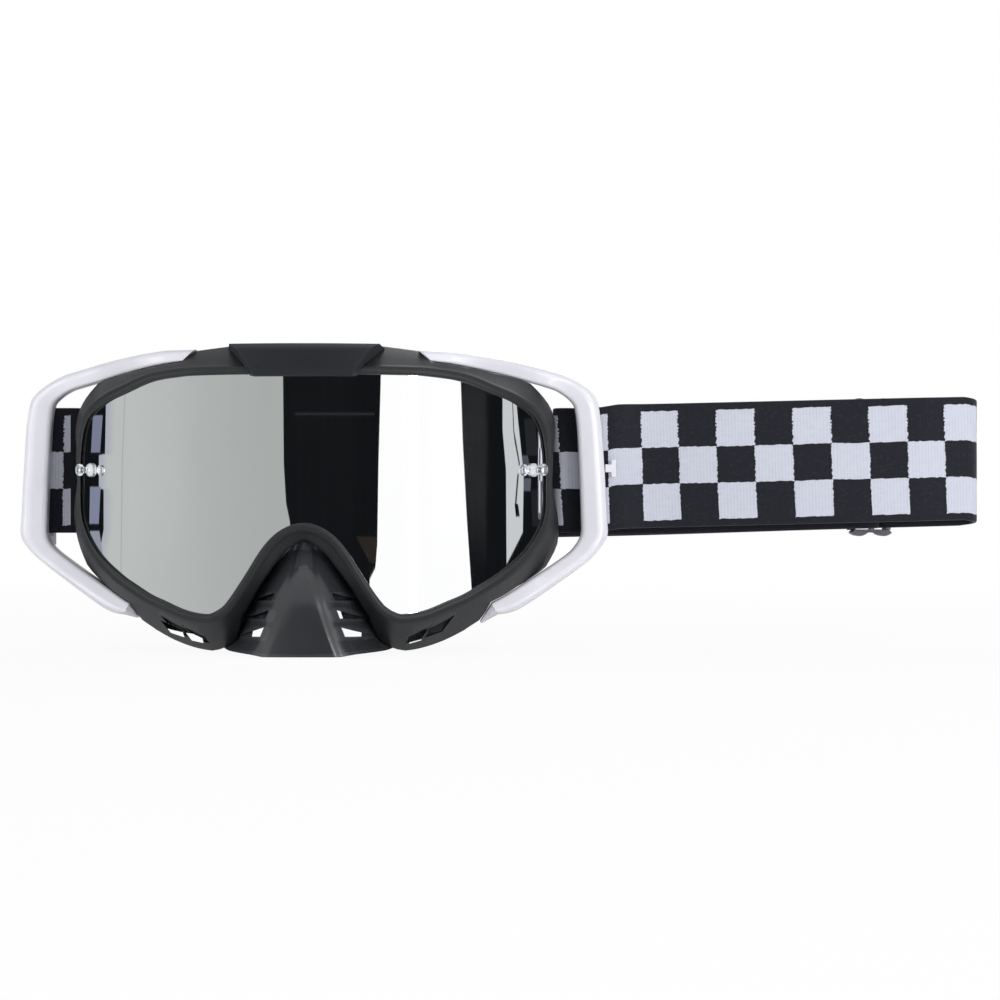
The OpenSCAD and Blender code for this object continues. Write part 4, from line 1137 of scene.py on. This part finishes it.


# The pattern: pale checks of the top row start at these x, on the front run, in the gap
# beside the right bar (where a dark one starts) and in the gap beside the left bar, past
# which the checks are painted out to plain navy as painted shade
CHECK_START, RIGHT_START, LEFT_START, PAINTED_SHADE_START = 115, 86.1, -90.4, -87.8
main_web = Ribbon(front_path + back_path + loop_path + return_path)
front_at = main_web.run_at(CHECK_START)
right_shift = front_at - main_web.run_at(RIGHT_START) - 3 * CHECK
left_run = main_web.run_at(LEFT_START) - front_at
left_shift = 2 * CHECK * round(left_run / (2 * CHECK)) - left_run
main_web.shifts = [
    (main_web.run_at(BAR_X - 0.5), right_shift, 0.045), (main_web.run_at(BAR_OUT - 0.6), 0, 0.03),
    (main_web.run_at(SLIDER_X, -1), 0, 0.03), (main_web.run_at(0, -1), left_shift, -0.02)]
# painted shade: from here on the webbing shows plain navy, with no checks
main_web.paint_shade_from(PAINTED_SHADE_START)
check_web = webbing("webbing_checks", front_at)
dress(main_web.build("strap_webbing", 0.1), "mask", "webbing",
      ["strap_front", "strap_back", "strap_loop_left", "strap_return"], check_web)
dress(Ribbon(lifted(tail_path, back_z)).build("strap_tail_layer"), "slider", "webbing",
      ["strap_tail"], check_web)

# Slider
RAIL_IN, RAIL_H, LOBE_R, OUTER_BAR, OUTER_X = STRAP_W / 2 + 0.4, 2.4, 4.4, 1.8, 6.4
OUTER_Y = BACK_Y + STRAP_T / 2 + GAP
rail = []
for x in (-LOBE_R, LOBE_R):
    rail += [(x + u, RAIL_IN + RAIL_H - LOBE_R + v)
             for u, v in bend(0, 0, LOBE_R, LOBE_R, 180, 0, 12) if v > LOBE_R - 0.55 * RAIL_H]
rail = [(-1.4 * LOBE_R, RAIL_IN)] + sorted(rail) + [(1.4 * LOBE_R, RAIL_IN)]
bm = bmesh.new()
for flip in (1, -1):
    extrude(bm, [(SLIDER_X + x, SLIDER_Z + flip * z) for x, z in rail], PIN_Y - PIN_R,
            OUTER_Y + OUTER_BAR)
ease(bm, 45, 0.4, 3)
bars = [(0, PIN_Y, PIN_R, 1)]
bars += [(x, OUTER_Y + OUTER_BAR / 2, OUTER_BAR / 2, 1.8) for x in (-OUTER_X, OUTER_X)]
for x, y, r, squash in bars:
    made = bmesh.ops.create_cone(bm, cap_ends=True, segments=24, radius1=r * MM,
                                 radius2=r * MM, depth=(2 * RAIL_IN + 0.5) * MM)["verts"]
    bmesh.ops.scale(bm, vec=(squash, 1, 1), verts=made)
    bmesh.ops.translate(bm, vec=place((SLIDER_X + x, y, SLIDER_Z)), verts=made)
dress(sharpen(settle("ladder_slider", bm), 40), "slider", "slider", ["strap_slider"], slider_grey)

# Hangers and tabs: copies of CAD nodes with their edges rounded
for side in ("left", "right"):
    for kind, width, finish in (("hanger", 0.3, hanger_grey), ("tab", 0.25, tab_white)):
        node = f"strap_{kind}_{side}"
        bm = bmesh.new()
        bm.from_mesh(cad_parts[node].data)
        bmesh.ops.remove_doubles(bm, verts=bm.verts, dist=1e-7)
        bmesh.ops.dissolve_limit(bm, angle_limit=radians(1), verts=bm.verts, edges=bm.edges)
        ease(bm, 50, width, 3, clamp_overlap=True)
        dress(sharpen(settle(f"{kind}_{side}", bm), 40), "mask", kind, [node], finish)

# Sewn ends, in mm: thread radius, how proud a stitch stands, how deep its ends lie
THREAD_R, PROUD, SUNK, STITCH_N, SIDES = 0.22, 0.25, 0.12, 4, 6
PITCH, REACH, TACK_HALF = 1.5, 2.2, 19.5


def stitch(bm, a, b, out):
    """One stitch from a to b, standing a little proud along out, ends dipping in."""
    side = (b - a).normalized().cross(out).normalized()
    rings = []
    for k in range(STITCH_N + 1):
        c = a.lerp(b, k / STITCH_N) + out * (PROUD * sin(pi * k / STITCH_N) - SUNK)
        rings.append([bm.verts.new(place(c + (side * cos(q) + out * sin(q)) * THREAD_R))
                      for q in (2 * pi * n / SIDES for n in range(SIDES))])
    for pair in zip(rings, rings[1:]):
        edges = [bm.edges.get(ends) or bm.edges.new(ends)
                 for ring in pair for ends in zip(ring, ring[1:] + ring[:1])]
        bmesh.ops.bridge_loops(bm, edges=edges)


def seam(name, body, tacks, out):
    """Zigzags of stitches across the strap: each tack is an (x, y, z) of its middle."""
    bm = bmesh.new()
    for x, y, middle in tacks:
        z, lean = -TACK_HALF, -REACH / 2
        while z < TACK_HALF:
            stitch(bm, Vector((x + lean, y, middle + z)),
                   Vector((x - lean, y, middle + z + PITCH)), Vector((0, out, 0)))
            z, lean = z + PITCH, -lean
    dress(settle(name, bm), body, "webbing", (), sewing_thread)


seam("sewn_end_right", "mask",
     [(x, y + STRAP_T / 2, front_z(x))
      for x, y in ((RUN_IN + 7.5, FRONT_Y + 8.6), (RUN_IN - 1, FRONT_Y + 6.95))], 1)
seam("sewn_end_slider", "slider",
     [(x, y - STRAP_T / 2, back_z(x))
      for x, y in ((SLIDER_X - 17, TAIL_Y), (SLIDER_X - 12, TAIL_Y - 0.15))], -1)


# Studio
ROOM_R = 0.9
# Patches of the room: top, bottom, left edge at both, right edge at both, colour
PATCHES = [
    (49, 23, -105.4, -106.9, -98.6, -100.4, "777c93"),
    (-1, -27, -107.6, -108.1, -100, -101.3, "7e8399"),
    (-32, -60, -107.6, -107, -100.9, -97, "8f93a0"),
    (50.6, 49.6, -8, -8, 24, 24, "36383a"), (-36, -54, 16.5, 22, 25, 24.6, "292623"),
    (8, -14, 89, 87.6, 89.9, 88.5, "3a3d41"), (-13, -22, 87.5, 88.2, 89.4, 90.4, "0c0d0f"),
    (21, 9, 91.7, 92.7, 95, 96.8, "4c4e58"), (5, -4, 92.5, 92.5, 97, 96.5, "585a66"),
    (47, 21, 92.8, 94.4, 99.3, 101.2, "24262a"), (-3, -29, 96.9, 97.8, 101.2, 103.1, "212327")]


def room():
    """What the mirror lens shows: a curved screen of bands, by angle and height in mm."""
    f = Finish("room")
    x, y, z = f.parts(f.where())
    angle, height = x.math("ARCTAN2", y * -1) * (180 / pi), z * 1000

    def edge(*marks):
        """An edge through (height, angle) marks, from the top one down."""
        line = height * 0 + marks[0][1]
        for (h0, a0), (h1, a1) in zip(marks, marks[1:]):
            share = ((height - h0) / (h1 - h0)).math("MULTIPLY", 1.0, clamp=True)
            line = line + share * (a1 - a0)
        return line

    def band(left, right, top=600, bottom=-500):
        inside = (angle > edge(*left)) * (angle < edge(*right))
        return inside * (height < top) * (height > bottom)

    shade = f.blend(f.noise(1, 3, 0.7, f.add("CombineXYZ", angle * 0.4)), "0a0c0e", "16181b")
    wall = f.blend(angle.ramp(-95, -12), "bbbfbe", "a6aaa9")
    wall = f.blend(f.noise(6, 2, 0.5) * 0.3, wall, "b4b6ae")
    rim_left = edge((56, -96.5), (22, -97.1), (21, -101.2), (-2, -101.2), (-3, -98), (-31, -98),
                    (-45, -100.4))
    wall = f.blend((angle - rim_left).ramp(7, 0) * 0.6, wall, "9fa0b4")
    seam = (angle - edge((63, -85), (18, -86.5), (-50, -87.2))).abs()
    wall = f.blend((seam < 0.35) * 0.25, wall, "6f7270")
    grey_end = edge((75, -12.9), (15, -12.6), (-12, -11.7), (-26, -10.1))
    shade = f.blend((angle > rim_left) * (angle < grey_end), shade, wall)
    white = band(((78, 26.6), (15, 25.6), (-42, 25.1), (-58, 24.3), (-66, 22)),
                 ((73, 60.8), (28, 61.8), (-26, 63.7), (-72, 65.8)))
    shade = f.blend(white, shade, "ffffff")
    strip = band(((64, 81.1), (39, 81.1), (11, 82.9), (-52, 83.2)),
                 ((61, 86), (56, 88.7), (46, 89.4), (21, 91.5), (8, 92.6), (-33, 92.1),
                  (-57, 82.6)), 64, -58)
    shade = f.blend(strip, shade, "c6c9cb")
    line = band(((59, 86.2), (38, 86.8), (30, 87.6), (16, 89.7)),
                ((59, 86.6), (38, 87.3), (30, 88.5), (16, 90.4)), 59, 14)
    shade = f.blend(line, shade, "23262a")
    for top, bottom, left_top, left_low, right_top, right_low, colour in PATCHES:
        patch = band(((top, left_top), (bottom, left_low)), ((top, right_top), (bottom, right_low)),
                     top, bottom)
        shade = f.blend(patch, shade, colour)
    return f.done("000000", 0.5, Specular_IOR_Level=0.0, Emission_Strength=1.0,
                  Emission_Color=shade)


bm = bmesh.new()
start, turn = radians(-128), radians(236)
line = [bm.verts.new((ROOM_R * sin(start), -ROOM_R * cos(start), z))
        for z in (-0.5, 0.6)]
bmesh.ops.spin(bm, geom=line + [bm.edges.new(line)], cent=(0, 0, 0), axis=(0, 0, 1),
               angle=turn, steps=118, use_merge=False)
screen = settle("reflected_room", bm)
screen.data.materials.append(room())
for kind in ("camera", "diffuse", "shadow", "transmission"):
    setattr(screen, "visible_" + kind, False)

bm = bmesh.new()
bmesh.ops.create_grid(bm, x_segments=1, y_segments=1, size=6)
bmesh.ops.translate(bm, vec=(0, 0, cad_box[0][2] - 0.0002), verts=bm.verts)
floor = settle("floor", bm)
floor_white = bpy.data.materials.new("floor_white")
g = Graph(floor_white)
spread = g.add("TexGradient", g.where(), out="Fac", gradient_type="SPHERICAL")
g.add("OutputMaterial", g.add("MixShader", g.seen() * spread.ramp(0.15, 0.7, 1.0, 0.93),
                              g.add("BsdfDiffuse", (0.9, 0.9, 0.9, 1)), g.add("Emission")))
floor.data.materials.append(floor_white)
floor.visible_glossy = False

world = bpy.data.worlds.new("studio")
bpy.context.scene.world = world
g = Graph(world)
g.add("OutputWorld", g.add("MixShader", g.seen().most(g.on_rays("Glossy") * 0.3),
                           g.add("Background", (0.95, 0.96, 1.0, 1), 0.42),
                           g.add("Background", (1, 1, 1, 1), 1.0)))

# Lamps: name, place, aim, size, power
for name, at, aim, size, power in (
        ("front", (0.05, -1.1, 0.05), (0, 0, 0), (0.6, 0.6), 2),
        ("key", (0.75, -0.85, 0.45), (0, 0, 0), (0.7, 0.8), 3.6),
        ("strip", (0.52, -0.62, -0.05), (0, 0, -0.02), (0.05, 0.5), 1),
        ("low_right", (0.8, -0.45, 0.02), (0.02, 0, -0.03), (0.4, 0.12), 1.6),
        ("low_left", (-0.9, -0.35, 0.02), (-0.02, 0, -0.03), (0.5, 0.12), 2.6),
        ("left", (-0.95, -0.75, 0.25), (0, 0, 0), (0.7, 0.7), 2.4),
        ("top", (0.0, -0.1, 1.1), (0, 0, 0), (1.0, 1.0), 0.6),
        ("rear", (0.3, 1.0, 0.7), (0, 0, 0), (0.8, 0.8), 6)):
    data = bpy.data.lights.new(name, "AREA")
    data.shape = "RECTANGLE"
    data.size, data.size_y = size
    data.energy = power
    lamp = bpy.data.objects.new(name, data)
    bpy.context.collection.objects.link(lamp)
    lamp.location = at
    lamp.rotation_euler = (Vector(aim) - Vector(at)).to_track_quat("-Z", "Y").to_euler()

bpy.context.scene.view_settings.view_transform = "Standard"
